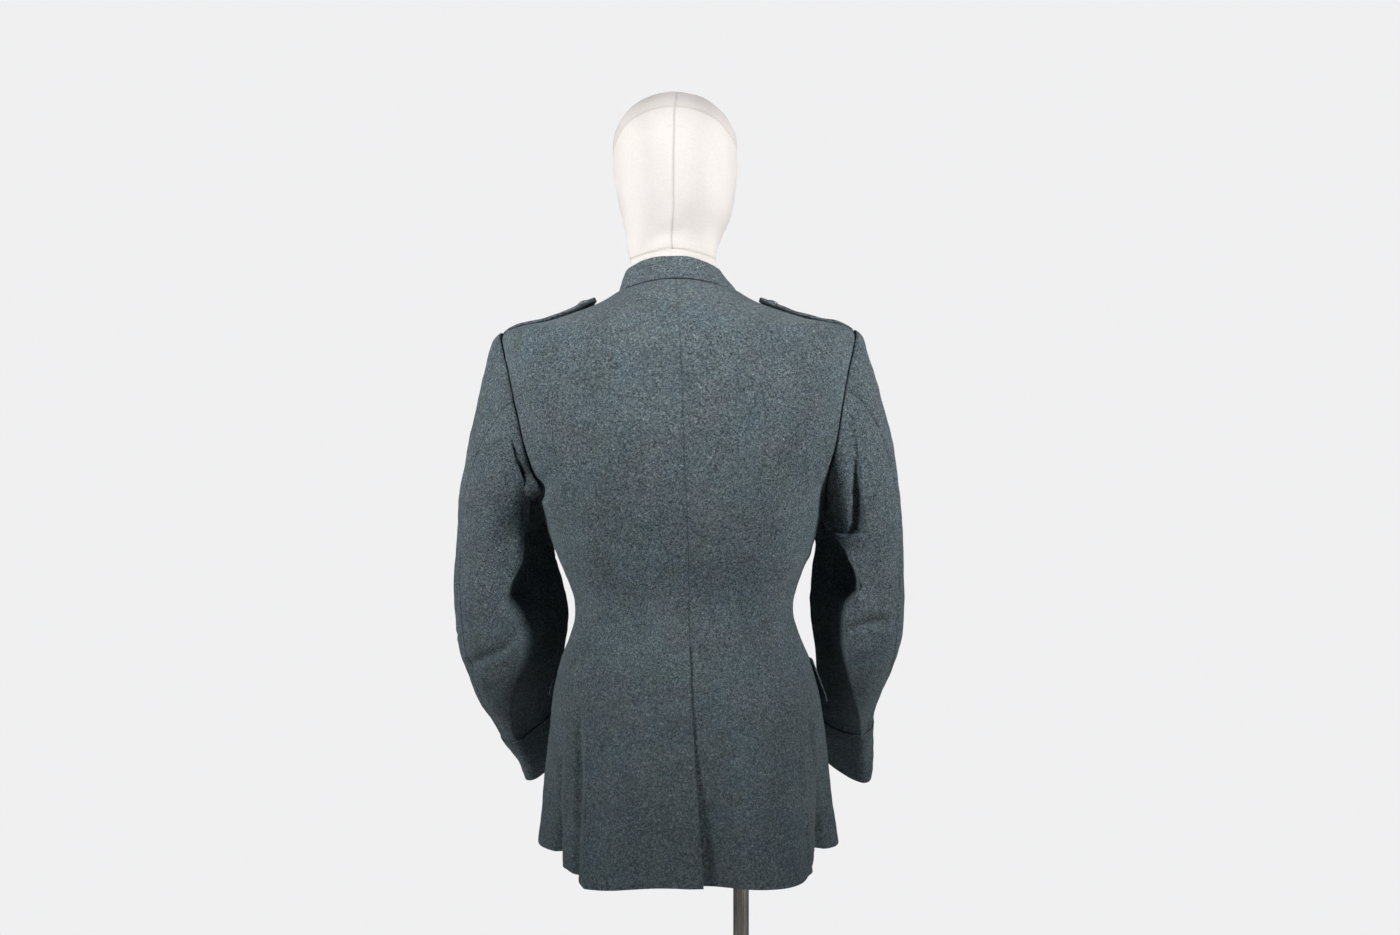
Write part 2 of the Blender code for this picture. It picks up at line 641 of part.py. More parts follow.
def turned(name, profile, look, centre, axis, sides, lean=True):
    """A turned solid. profile: (radius, height) pairs up the axis, from a flat foot."""
    axis = np.array(axis, float) / np.linalg.norm(axis)
    helper = np.array([1.0, 0, 0]) if abs(axis[0]) < 0.8 else np.array([0, 1.0, 0])
    u = np.cross(axis, helper)
    u /= np.linalg.norm(u)
    v = np.cross(axis, u)
    turn = np.arange(sides) * 2 * math.pi / sides
    circle = np.cos(turn)[:, None] * u + np.sin(turn)[:, None] * v
    rings = [np.array(centre) + r * circle + h * axis for r, h in profile if r > 0]
    tip = [np.array(centre) + h * axis for r, h in profile if r == 0]
    return rings_solid(name, rings, look, lean, tip_high=tip[0] if tip else None)


# ---------------------------------------------------------------- the jacket's pieces
def make_backs(look):
    """The back's two halves, which meet at the centre seam and lap at the vent."""
    for side, name in ((1, "back_left"), (-1, "back_right")):
        angles, stations = back_rows(side)
        lift = back_lift(side, angles, stations)
        wall(
            name,
            on_body(angles, stations, lift),
            on_body(angles, stations, lift - CLOTH),
            look,
        )


def make_fronts(look):
    """The two fronts, the left lapped over the right."""
    for side, name in ((1, "front_left"), (-1, "front_right")):
        angles, stations = front_rows(side)
        lift = front_lift(side, angles, stations)
        wall(
            name,
            on_body(angles, stations, lift),
            on_body(angles, stations, lift - CLOTH),
            look,
        )


def make_sleeves(look):
    """Each sleeve's upper and under halves and its turned-back cuff."""
    for side, hand in ((1, "left"), (-1, "right")):
        wall(f"sleeve_{hand}_upper", *sleeve_grid(side, True), look)
        wall(f"sleeve_{hand}_under", *sleeve_grid(side, False), look)
        wall(f"cuff_{hand}", *cuff_grid(side), look, closed=True)


def make_collar(look):
    """The standing collar, in one piece round the neck, open at the centre front."""
    opening = math.radians(COLLAR_OPENING)
    ring = np.mod(form_angles(NECKLINE) + math.pi, 2 * math.pi) - math.pi
    ring = np.sort(ring[np.abs(ring) < 3.1])
    angles = np.concatenate([[opening - math.pi], ring, [math.pi - opening]])
    base = body(angles, np.full_like(angles, NECKLINE))
    top = ring_point(angles, square=2.0, **COLLAR_TOP)[1]
    top[:, 2] += COLLAR_SQUARE * np.sin(2 * angles) ** 2 * (np.cos(angles) > 0)
    up = (top - base) / np.linalg.norm(top - base, axis=-1, keepdims=True)
    base = base + 2.5 * SEAM * up
    around = np.gradient(base, axis=0)
    out = np.cross(around, up)
    out /= np.linalg.norm(out, axis=-1, keepdims=True)
    out *= np.sign(np.sum(out[:, :2] * base[:, :2], -1))[:, None]
    outer = np.stack([base, (base + top) / 2 + COLLAR_BOW * out, top])
    wall("collar", outer, outer - COLLAR_WALL * out, look)


def make_straps(look, metal):
    """The shoulder straps and their buttons."""
    stations_table = column(BODY_RINGS, BODY_COLUMNS, "station")
    widths = column(BODY_RINGS, BODY_COLUMNS, "half_width")
    stations = np.array(STRAP_STATIONS)
    across = np.linspace(-1, 1, 7)
    along = (stations - stations[0]) / (stations[-1] - stations[0])
    half = STRAP["half_width"] + (STRAP["inner_half_width"] - STRAP["half_width"]) * along
    half *= np.sqrt(1 - 0.55 * fade(along, 0.82, 1.0) ** 2)
    y = half[:, None] * across
    width = spline(stations_table, widths, stations)[:, None]
    angle = np.arccos(np.clip(y / width, -1, 1))
    station = np.broadcast_to(stations[:, None], angle.shape)
    for side, hand in ((1, "left"), (-1, "right")):
        rise = STRAP_RISE + STRAP_LIFT[side] * fade(along, 0.55, 1.0)
        lift = np.broadcast_to(rise[:, None], angle.shape)
        inner = on_body(side * angle, station, lift)
        outer = on_body(side * angle, station, lift + STRAP_WALL)
        wall(f"shoulder_strap_{hand}", outer, inner, look)
        where = STRAP_BUTTON["station"]
        under = float(np.interp(where, stations, rise)) + STRAP_WALL + 1.2 * LAP_GAP
        seat = on_body(side * math.pi / 2, where, under)
        axis = strap_normal(side, where, stations, rise)
        make_button(f"strap_button_{hand}", seat, axis, STRAP_BUTTON, metal)


def strap_normal(side, where, stations, rise):
    """The direction in which the strap's button points: square to the strap's own slope."""
    near = np.array([where - 0.006, where + 0.006])
    ends = on_body(side * math.pi / 2, near, np.interp(near, stations, rise))
    slope = ends[1] - ends[0]
    normal = np.array([-slope[2], 0.0, slope[0]])
    return normal * math.copysign(1.0, normal[2])


def make_button(name, seat, axis, sizes, metal):
    """A domed metal button with a rolled rim."""
    shape = ((0.82, 0.0), (1.0, 0.25), (0.95, 0.52), (0.55, 0.90), (0.0, 1.0))
    profile = [(out * sizes["radius"], up * sizes["height"]) for out, up in shape]
    turned(name, profile, metal, seat, axis, BUTTON_ROUND)


def make_flaps(look):
    """The hip pocket flaps, standing off the skirt towards their lower edge."""
    columns, rows = 9, 5
    for side, hand in ((1, "left"), (-1, "right")):
        degrees = np.linspace(FLAP["from_angle"], FLAP["to_angle"], columns) + FLAP_SHIFT[side]
        angles = np.radians(degrees)
        length = (angles - angles[0]) * float(radius_at(np.radians(120.0), FLAP["top"]))
        corner = FLAP["corner"]
        from_corner = corner - np.minimum(np.minimum(length, length[-1] - length), corner)
        bottoms = FLAP["bottom"] + 0.7 * (corner - np.sqrt(corner**2 - from_corner**2))
        share = np.linspace(0, 1, rows)[:, None]
        stations = FLAP["top"] + (bottoms - FLAP["top"]) * share
        lift = np.broadcast_to(FLAP["gap"] + FLAP["stand"] * share**1.3, stations.shape)
        grid = np.broadcast_to(side * angles, stations.shape)
        wall(
            f"pocket_flap_{hand}",
            on_body(grid, stations, lift + FLAP_WALL),
            on_body(grid, stations, lift),
            look,
        )


def make_front_buttons(metal):
    """The front's buttons, each seated on the face of the upper front under it."""
    rows = np.array([row[0] for row in panel_rows(True)])
    lap = on_body(math.pi, rows, CLOTH + LAP_GAP)
    heights = np.linspace(FRONT_BUTTON["top"], FRONT_BUTTON["bottom"], FRONT_BUTTONS)
    for k, station in enumerate(heights):
        normal = body_normals(math.pi, station)
        seat = np.array([np.interp(station, rows, lap[:, axis]) for axis in range(3)])
        seat = seat + BUTTON_GAP * normal
        make_button(f"front_button_{k + 1}", seat, normal, FRONT_BUTTON, metal)


# ---------------------------------------------------------------- form and stand
def form_angles(station):
    """Angles round the form, the same as the panels' columns over the shoulders."""
    seam = float(back_seam_angle(station))
    step = float(arc(BESIDE, 0.0, station))
    lap = float(arc(FRONT_LAP, math.pi, station))
    half = math.pi / 2
    front = list(spaced(half, math.pi - lap, PANEL_COLUMNS))[1:]
    left = [seam, seam + step] + list(spaced(seam + 2 * step, half, PANEL_COLUMNS)) + front
    right = [seam - step] + list(spaced(seam - 2 * step, -half, PANEL_COLUMNS))
    right += [-a for a in front]
    return np.array(left + [math.pi] + right[::-1])


def make_form(canvas):
    """The torso and neck in one piece, and the head on it, with no features."""
    stations = [0.875, 0.920, 0.980, 1.040, 1.098, 1.160, 1.238, 1.320, 1.392, 1.430, 1.449]
    stations += list(YOKE_STATIONS[:-1])
    known = [row[0] for row in FORM_INSETS]
    insets = [row[1] for row in FORM_INSETS]
    rings = []
    for station in stations:
        inset = float(np.interp(station, known, insets))
        angles = form_angles(station)
        sunk = np.full_like(angles, -inset)
        rings.append(on_body(angles, np.full_like(angles, station), sunk))
    rings[0][:, 2] = stations[0]
    angles = form_angles(SHOULDER_TIP)
    for z_back, z_side, z_front, half_width, back, front in NECK_RINGS:
        ends = (z_back, z_side, z_front)
        rings.append(ring_point(angles, half_width, back, front, *ends, 2.0)[1])
    middle = np.array([0.0, 0.0, NECK_RINGS[-1][1]])
    rings_solid("form_torso", rings, canvas, tip_high=middle)
    head = []
    first = NECK_RINGS[-1]
    for k, (z, centre, half_width, back, front) in enumerate(HEAD_RINGS):
        level = max(0.0, 1 - k / 4) ** 2
        ends = (z, z - level * (first[0] - first[1]), z - level * (first[0] - first[2]))
        ring = ring_point(angles, half_width, back, front, *ends, 2.0)[1]
        ring[:, 1] += centre
        head.append(ring)
    head[0][:, 2] += SEAM
    top = np.array([0.0, HEAD_TOP[0], HEAD_TOP[1]])
    rings_solid("form_head", head, canvas, tip_low=middle + (0, 0, SEAM), tip_high=top)


def make_stand(steel):
    """The round base, the boss on it, the pole, and the socket under the torso."""
    centre = np.array([POLE["x"], POLE["y"], 0.0])
    foot = BASE["thickness"] + SEAM
    bevel = BASE["bevel"]
    profile = (
        (BASE["radius"], 0.0),
        (BASE["radius"], BASE["thickness"] - bevel),
        (BASE["radius"] - bevel, BASE["thickness"]),
    )
    turned("stand_base", profile, steel, np.zeros(3), (0, 0, 1), 2 * ROUND, lean=False)
    boss = ((BOSS["radius"], 0.0), (BOSS["radius"], BOSS["height"] - 0.004),
            (BOSS["radius"] - 0.004, BOSS["height"]))
    turned("stand_boss", boss, steel, centre + (0, 0, foot), (0, 0, 1), ROUND, lean=False)
    low = foot + BOSS["height"] + SEAM
    top = 0.875 - 2 * SEAM - SOCKET["height"]
    pole = ((POLE["radius"], 0.0), (POLE["radius"], top - SEAM - low))
    turned("stand_pole", pole, steel, centre + (0, 0, low), (0, 0, 1), ROUND, lean=False)
    socket = ((SOCKET["radius"] - 0.003, 0.0), (SOCKET["radius"], 0.004),
              (SOCKET["radius"], SOCKET["height"]))
    turned("stand_socket", socket, steel, centre + (0, 0, top), (0, 0, 1), ROUND, lean=False)


def main():
    for old in list(bpy.data.objects):
        bpy.data.objects.remove(old)
    wool = material("field_grey_wool", (0.070, 0.092, 0.098), 0.95)
    canvas = material("cream_canvas", (0.80, 0.74, 0.67), 0.85)
    brass = material("dull_button_metal", (0.34, 0.33, 0.30), 0.42, 0.9)
    steel = material("brushed_steel", (0.55, 0.53, 0.50), 0.32, 1.0)
    make_backs(wool)
    make_fronts(wool)
    make_sleeves(wool)
    make_collar(wool)
    make_straps(wool, brass)
    make_flaps(wool)
    make_front_buttons(brass)
    make_form(canvas)
    make_stand(steel)


main()
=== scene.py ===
"""The looks of a wool uniform jacket on a headed dress form.

Metres, +Z up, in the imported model's own frame: the origin is on the floor at the
centre of the stand's base, the jacket's front faces -Y and its wearer's left is +X.

The jacket's body is one surface, read at an angle round it and a station up it. Each
sleeve is another, read at a share of a turn round it and a distance down it. The cloth
is a thin shell on these surfaces, and its folds are tables of paths drawn on them.
In tables for both sides, 1 is the wearer's left and -1 the right.
"""

import math

import bpy
import numpy as np
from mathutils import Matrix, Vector


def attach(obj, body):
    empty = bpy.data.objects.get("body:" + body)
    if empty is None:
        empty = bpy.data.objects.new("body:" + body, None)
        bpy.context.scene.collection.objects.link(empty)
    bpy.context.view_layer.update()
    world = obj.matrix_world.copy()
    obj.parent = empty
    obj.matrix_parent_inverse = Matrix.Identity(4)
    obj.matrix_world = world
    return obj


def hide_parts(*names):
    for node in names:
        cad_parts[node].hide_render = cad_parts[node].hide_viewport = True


# ---------------------------------------------------------------- sizes shared with the part
CLOTH = 0.0022  # wall of the felted wool
LAP_GAP = 0.0005  # between cloth and the cloth lying on it
LEAN = 0.021  # sideways lean of form and jacket, metres per metre
LEAN_PIVOT = 1.10
NECK_SWAY = 0.0055
SHOULDER_DROP = 0.009
DROP_SPAN = (1.15, 1.40)  # heights between which the drop starts
SWAY_SPANS = ((1.500, 1.535), (1.560, 1.610))  # and between which the sway comes and goes
HEM = 0.805
UNDERARM = 1.238
SHOULDER_TIP = 1.449
NECKLINE = 1.606
UNDERLAY = 0.035
VENT_TOP = 1.055
VENT_RECESS = 0.0065
VENT_FADE = 0.030
VENT_CLOSES = (VENT_TOP + 0.003, VENT_TOP + 0.022)  # where the overlap runs out
VENT_FLAT = VENT_TOP - 0.07  # and where the recess under it does
UNDERLAY_END = 0.004  # half the height of the step in the underlay's edge
FRONT_LAP = 0.024
LAP_FADE = 0.030

# The body's rings: station (metres along the surface, the height up to the shoulder), half
# width, reach to the back and front, height at the back, side and front, and squareness
# (2 is an ellipse, more is squarer).
BODY_RINGS = (
    (0.805, 0.193, 0.150, 0.158, 0.804, 0.801, 0.804, 2.60),
    (0.860, 0.186, 0.148, 0.153, 0.860, 0.858, 0.860, 2.50),
    (0.920, 0.179, 0.142, 0.147, 0.920, 0.920, 0.920, 2.35),
    (0.980, 0.171, 0.131, 0.141, 0.980, 0.980, 0.980, 2.20),
    (1.040, 0.156, 0.112, 0.131, 1.040, 1.040, 1.040, 2.10),
    (1.098, 0.1385, 0.093, 0.119, 1.098, 1.098, 1.098, 2.10),
    (1.150, 0.152, 0.100, 0.122, 1.150, 1.150, 1.150, 2.15),
    (1.200, 0.171, 0.113, 0.130, 1.200, 1.200, 1.200, 2.20),
    (1.238, 0.181, 0.121, 0.135, 1.238, 1.238, 1.238, 2.25),
    (1.275, 0.196, 0.125, 0.137, 1.275, 1.275, 1.272, 2.35),
    (1.312, 0.211, 0.127, 0.136, 1.312, 1.312, 1.305, 2.40),
    (1.352, 0.219, 0.125, 0.131, 1.350, 1.352, 1.340, 2.40),
    (1.392, 0.223, 0.120, 0.122, 1.386, 1.392, 1.370, 2.40),
    (1.425, 0.2245, 0.115, 0.113, 1.413, 1.426, 1.390, 2.35),
    (1.449, 0.2225, 0.110, 0.106, 1.432, 1.449, 1.403, 2.25),
    (1.489, 0.185, 0.101, 0.097, 1.455, 1.461, 1.418, 2.10),
    (1.525, 0.150, 0.090, 0.090, 1.475, 1.4705, 1.429, 2.05),
    (1.562, 0.115, 0.077, 0.083, 1.493, 1.4825, 1.438, 2.00),
    (1.588, 0.092, 0.067, 0.078, 1.505, 1.4935, 1.444, 2.00),
    (1.606, 0.077, 0.060, 0.074, 1.5125, 1.5035, 1.449, 2.00),
)

# The skirt's flutes: how far the hem stands out or in at each angle from the centre back,
# wearer's left positive.
FLUTES = (
    (-200, 0), (-180, 0), (-160, 0.002), (-133, 0.008), (-110, -0.006), (-95, -0.003),
    (-83, -0.011), (-75, -0.032), (-67, -0.029), (-57, -0.017), (-47, 0.002), (-41, 0.012),
    (-34, 0.016), (-20, 0.006), (0, 0.003), (20, 0.006), (34, 0.018), (40, 0.012), (47, -0.007),
    (59, -0.02), (69, -0.033), (75, -0.026), (84, -0.007), (95, 0.001), (112, -0.006), (136, 0.007),
    (160, 0), (180, 0), (200, 0),
)
FLUTE_TOP = 1.000  # the height at which the flutes fade out
FLUTE_SAG = 0.12  # the hem rises by this share where it stands in
FLUTE_RISE = 0.08  # and at the crest of a flute it is lifted by this share

# How far the centre-back seam wanders towards the wearer's left, at each station.
BACK_SEAM = (
    (0.805, -0.018), (0.93, -0.012), (1.04, -0.0075), (1.17, -0.008), (1.31, -0.006),
    (1.41, -0.0045), (1.606, 0),
)

# The collar's upper edge, as a ring.
COLLAR_TOP = {
    "half_width": 0.0600, "back": 0.041, "front": 0.065,
    "z_back": 1.5430, "z_side": 1.5315, "z_front": 1.489,
}
COLLAR_OPENING = 1.4  # degrees each side of the centre front

# The armhole. deep_*: how far it cuts into the back and the front, in degrees.
ARMHOLE = {"deep_back": 19.5, "deep_front": 28.0, "low": 0.30}

# Sections down each sleeve, below the cap: x (outwards), y and z of the middle, the half-axes
# across and deep, roll (degrees that turn the outer edge to the back) and slant (how far the
# outer edge runs on ahead, as a share of across).
SLEEVES = {
    1: (
        (0.2335, -0.004, 1.2, 0.055, 0.06, 0, 0), (0.2305, -0.007, 1.14, 0.0635, 0.054, 8, 0),
        (0.224, -0.01, 1.08, 0.0695, 0.05, 16, 0), (0.224, -0.036, 1.02, 0.0615, 0.047, 24, 0.05),
        (0.2155, -0.074, 0.964, 0.054, 0.038, 32, 0.15),
        (0.1985, -0.104, 0.922, 0.0545, 0.029, 38, 0.27),
        (0.188, -0.127, 0.891, 0.0575, 0.023, 40, 0.34),
    ),
    -1: (
        (0.23, -0.004, 1.2, 0.052, 0.06, 0, 0), (0.2265, -0.007, 1.14, 0.0565, 0.057, 6, 0),
        (0.223, -0.01, 1.08, 0.0565, 0.056, 10, 0), (0.22, -0.037, 1.02, 0.047, 0.056, 14, 0.1),
        (0.2135, -0.075, 0.964, 0.04, 0.048, 22, 0.2),
        (0.21, -0.102, 0.919, 0.046, 0.037, 30, 0.33),
        (0.2085, -0.124, 0.88, 0.051, 0.027, 36, 0.41),
    ),
}

FLAP_SHIFT = {1: 0.0, -1: -9.0}  # degrees that each flap sits further to the front
FLAP = {"from_angle": 94.0, "to_angle": 150.0, "top": 1.034, "bottom": 0.978,
        "gap": 0.0009, "stand": 0.0058, "corner": 0.020, "thick": 0.0026}
STRAP = {"half_width": 0.0225, "inner_half_width": 0.0195, "outer": 1.4515, "inner": 1.577,
         "thick": 0.0042, "rise": 0.0008}
STRAP_STAND = 0.0013  # how much higher each strap lies here
STRAP_LIFT = {1: 0.0045, -1: 0.0022}  # rise of the free end
STRAP_BUTTON = {"station": 1.558, "radius": 0.0078, "height": 0.0034}
FRONT_BUTTONS = 6
FRONT_BUTTON = {"radius": 0.0105, "height": 0.0046, "top": 1.389, "bottom": 1.045}
COLLAR_WALL = 0.0030

# The dress form: below the shoulder it stands this far inside the jacket's outside.
FORM_INSETS = (
    (0.875, 0.030), (0.960, 0.022), (1.100, 0.016), (1.238, 0.012), (1.400, 0.0085),
    (1.449, 0.0075), (1.468, 0.0048), (1.489, CLOTH + LAP_GAP), (1.588, CLOTH + LAP_GAP),
)
NECK_RINGS = (  # z_back, z_side, z_front, half_width, back, front
    (1.502, 1.496, 1.45, 0.07, 0.053, 0.064), (1.513, 1.508, 1.472, 0.061, 0.044, 0.06),
    (1.529, 1.525, 1.5, 0.055, 0.0375, 0.057), (1.552, 1.545, 1.526, 0.055, 0.035, 0.057),
)
HEAD_RINGS = (  # height, centre, half_width, back, front
    (1.552, 0, 0.055, 0.035, 0.057), (1.57, -0.01, 0.0588, 0.047, 0.074),
    (1.586, -0.02, 0.064, 0.064, 0.086), (1.612, -0.026, 0.0722, 0.081, 0.093),
    (1.642, -0.03, 0.078, 0.093, 0.096), (1.67, -0.031, 0.0806, 0.098, 0.097),
    (1.6985, -0.031, 0.0807, 0.096, 0.095), (1.718, -0.031, 0.0764, 0.088, 0.088),
    (1.7365, -0.031, 0.0657, 0.074, 0.074), (1.7515, -0.031, 0.049, 0.053, 0.054),
    (1.7605, -0.031, 0.028, 0.03, 0.03),
)
HEAD_TOP = (-0.031, 1.7640)
POLE_X = -0.0725

# ---------------------------------------------------------------- sizes of the looks
CELL = 0.0031  # side of the cloth's mesh cells
FRONT_CELL = 0.0042
EDGE_STEPS = (0.0, 0.00025, 0.0006, 0.0011, 0.0019, 0.0032)  # finer rows beside an edge
SEAM_GAP = 0.00008  # between two pieces that a seam joins
GROOVE = 0.0007  # how far the cloth dips at a seam
GROOVE_WIDTH = 0.0024
NECK_GROOVE = 0.0014  # and how much further beside the collar

# Where each sleeve's hind seam runs, as (down, round).
HIND_SEAM = {
    1: ((0, 4 / 18), (1, 0.105), (1.5, 0.060), (2, 0.02)),
    -1: ((0, 0.210), (0.25, 0.163), (0.5, 0.131), (0.75, 0.112), (1, 0.099), (1.5, 0.060), (2, 0.02)),
}
FORE_SEAM = ((0, 12 / 18), (1, 0.610), (1.5, 0.545), (2, 0.5))
HEAD_RISE = 0.0088  # how far the sleeve head stands up beyond the armhole's seam
HEAD_ROLL = 0.0085  # how far it rolls outwards below that
# The hollow at the inner back of each empty sleeve: distance down it, the share of a turn
# where its sharp edge runs, its depth, and how softly it starts.
SAGS = {
    1: (
        (0.22, 0.43, 0, 0.3), (0.34, 0.42, 0.01, 0.2), (0.44, 0.412, 0.022, 0.13),
        (0.78, 0.395, 0.04, 0.1), (0.985, 0.374, 0.05, 0.08), (1.09, 0.33, 0.056, 0.07),
        (1.16, 0.288, 0.056, 0.065), (1.2, 0.262, 0.055, 0.065), (1.235, 0.24, 0.054, 0.075),
        (1.26, 0.246, 0.053, 0.11), (1.3, 0.254, 0.051, 0.16), (1.35, 0.258, 0.048, 0.19),
        (1.42, 0.236, 0.042, 0.2), (1.5, 0.2, 0.036, 0.2), (1.58, 0.164, 0.03, 0.2),
        (1.69, 0.11, 0.022, 0.2), (1.85, 0.09, 0.015, 0.24), (2, 0.08, 0.01, 0.28),
    ),
    -1: (
        (0.34, 0.445, 0, 0.2), (0.46, 0.436, 0.007, 0.15), (0.58, 0.412, 0.02, 0.11),
        (0.68, 0.4, 0.028, 0.1), (0.8, 0.397, 0.034, 0.1), (0.95, 0.396, 0.044, 0.08),
        (1.01, 0.38, 0.05, 0.06), (1.06, 0.323, 0.056, 0.055), (1.126, 0.278, 0.06, 0.055),
        (1.18, 0.26, 0.06, 0.055), (1.212, 0.258, 0.059, 0.06), (1.226, 0.272, 0.058, 0.08),
        (1.25, 0.292, 0.056, 0.11), (1.29, 0.298, 0.053, 0.13), (1.366, 0.288, 0.049, 0.14),
        (1.43, 0.258, 0.044, 0.15), (1.5, 0.23, 0.039, 0.16), (1.63, 0.125, 0.029, 0.18),
        (1.765, 0.065, 0.02, 0.22), (2, 0.05, 0.012, 0.28),
    ),
}
# The narrow valleys that run down to the underarm beside a sharp edge of their own.
VALLEYS = {
    1: (
        (0.175, 0.25, 0, 0.12), (0.215, 0.272, 0.01, 0.09), (0.251, 0.305, 0.02, 0.07),
        (0.3, 0.336, 0.026, 0.065), (0.37, 0.368, 0.028, 0.065), (0.443, 0.392, 0.022, 0.07),
        (0.6, 0.402, 0, 0.1), (2, 0.402, 0, 0.1),
    ),
    -1: (
        (0.06, 0.208, 0, 0.12), (0.18, 0.22, 0.001, 0.11), (0.3, 0.238, 0.004, 0.09),
        (0.419, 0.257, 0.009, 0.075), (0.5225, 0.27, 0.0135, 0.07), (0.714, 0.281, 0.0155, 0.065),
        (0.9, 0.281, 0.0155, 0.065), (0.965, 0.284, 0.0135, 0.065), (1.005, 0.303, 0.007, 0.07),
        (1.03, 0.345, 0, 0.07), (2, 0.345, 0, 0.07),
    ),
}
VALLEY_SPAN = {1: (0.09, 0.45), -1: (0.03, 0.27)}  # and between these a valley's
CUFF_TOP = 1 + 5 / 7  # where the cuff's seam runs, down the sleeve
SLEEVE_CELL = 0.0022
COLLAR_SQUARE = 0.0026  # how much higher the collar's top is half way round to the sides
HIND_GROOVE = {1: 0.25, -1: 2.8}  # how deep each hind seam lies, as a share of the others
FULLNESS = 0.0009  # how far the sleeve's cloth swells beside the armhole's seam
CUFF_GAP = 0.0003
CUFF_WALL = 0.0016
COLLAR_BOW = -0.0005
FORM_SLACK = 0.0008  # how much further inside the cloth the form stands here
FORM_GROOVE = 0.0006  # depth of the seams in the form's cover
YOKE_SPAN = (1.43, 1.49)  # above these stations the cloth lies close, and waves less
YOKE_CALM = 0.86
SAG_SPAN = (0.55, 1.75)  # between these shares of its width a hollow's far side rises again
CAP_PULL = 0.75  # how long the cap keeps the direction in which it leaves the armhole
CAP_FADE = 0.40  # how far down it the fullness and the rolled head reach
PANEL_WIDTH = 0.30  # rough sizes that the rows and columns of points are spaced for
CAP_LENGTH = 0.25
ARM_LENGTH = 0.36
UPPER_WIDTH = 0.26
FOLD_WIDTH = 0.036
SLEEVE_GIRTH = 0.33
CUFF_LENGTH = 0.098
CUFF_GIRTH = 0.25
COLLAR_GIRTH = 0.50
COLLAR_HEIGHT = 0.040
STRAP_WIDTH = 0.044
STRAP_END = 0.885  # where its pointed end starts, as a share of its length
STRAP_TAPER = 0.62  # how much narrower it is at the tip
STRAP_THIN = 0.66  # its thickness where the sleeve's seam takes it in
STRAP_SINK = 0.0030  # and how much lower it lies there
FLAP_HEIGHT = 0.056
FLAP_CELL = 0.0022
SMALL_CELL = 0.0018
COLLAR_TUCK = 0.0019  # how far the collar's foot is drawn in
STITCH_WIDTH = 0.0009
STRAP_STITCHES = (0.0055, 0.0005)  # how far in from the edge they run, and how deep
FLAP_STITCHES = (0.006, 0.0004)
BUTTON_GAP = 0.0009
STRAP_BUTTON_GAP = 0.0004
HEAD_GAP = 0.0004
TIP_RADIUS = 1e-4  # of a ring beside a tip, as good as none
STEP = 1e-3  # along a surface, to measure its slope


# ---------------------------------------------------------------- smooth tables
def spline(stations, values, at):
    """The natural cubic curve through a table's column, read at each of `at`."""
    x, y, at = (np.asarray(v, float) for v in (stations, values, at))
    step = np.diff(x)
    count = len(x)
    system, slopes = np.eye(count), np.zeros(count)
    for i in range(1, count - 1):
        system[i, i - 1 : i + 2] = step[i - 1], 2 * (step[i - 1] + step[i]), step[i]
        slopes[i] = 6 * ((y[i + 1] - y[i]) / step[i] - (y[i] - y[i - 1]) / step[i - 1])
    bend = np.linalg.solve(system, slopes)
    k = np.clip(np.searchsorted(x, at) - 1, 0, count - 2)
    a, b, h = x[k + 1] - at, at - x[k], step[k]
    return (
        (bend[k] * a**3 + bend[k + 1] * b**3) / (6 * h)
        + (y[k] / h - bend[k] * h / 6) * a
        + (y[k + 1] / h - bend[k + 1] * h / 6) * b
    )


def read(table, at):
    """Every column of a table after its first, on smooth curves, read at each of `at`."""
    stations, *columns = zip(*table)
    return [spline(stations, values, at) for values in columns]


def spaced(table, at, last=1.0):
    """Every column of a table whose rows are evenly spaced from 0 to last."""
    rows = np.linspace(0, last, len(table))
    return [spline(rows, values, at) for values in zip(*table)]


def fade(value, start, end):
    """0 at start, 1 at end, smooth between and level beyond."""
    t = np.clip((value - start) / (end - start), 0, 1)
    return t * t * (3 - 2 * t)


def bell(distance, width):
    """1 at no distance, and dying away to either side."""
    return np.exp(-((distance / width) ** 2))


def unit(vectors):
    return vectors / np.linalg.norm(vectors, axis=-1, keepdims=True)


# ---------------------------------------------------------------- the body's surface
def ring_point(angle, half_width, back, front, z_back, z_side, z_front, square):
    """(radius, point) of a ring. angle is in radians from the centre back, left positive."""
    across, along = np.sin(angle), np.cos(angle)
    reach = np.where(along > 0, back, front)
    radius = (
        np.abs(along / reach) ** square + np.abs(across / half_width) ** square
    ) ** (-1 / square)
    height = z_side + (np.where(along > 0, z_back, z_front) - z_side) * along**2
    return radius, np.stack([radius * across, radius * along, height], -1)


def flute_stand(angle, station):
    """How far the skirt stands out at each point, because of its flutes."""
    (stand,) = read(FLUTES, np.degrees(np.angle(np.exp(1j * angle))))
    return stand * np.clip((FLUTE_TOP - station) / (FLUTE_TOP - HEM), 0, 1) ** 1.3


def body(angle, station):
    """Points of the jacket's outside."""
    angle, station = np.broadcast_arrays(np.asarray(angle, float), np.asarray(station, float))
    radius, points = ring_point(angle, *read(BODY_RINGS, station))
    stand = flute_stand(angle, station)
    points[..., :2] *= (1 + stand / radius)[..., None]
    points[..., 2] += np.where(stand > 0, FLUTE_RISE, -FLUTE_SAG) * stand
    return points


def normals_of(surface, u, v):
    """Unit normals of surface(u, v), on the side that du x dv points to."""
    du = surface(u + STEP, v) - surface(u - STEP, v)
    dv = surface(u, v + STEP) - surface(u, v - STEP)
    return unit(np.cross(du, dv))


def body_normals(angle, station):
    """Unit normals of the body, pointing out."""
    return -normals_of(body, angle, np.clip(station, HEM + 2 * STEP, NECKLINE - 2 * STEP))


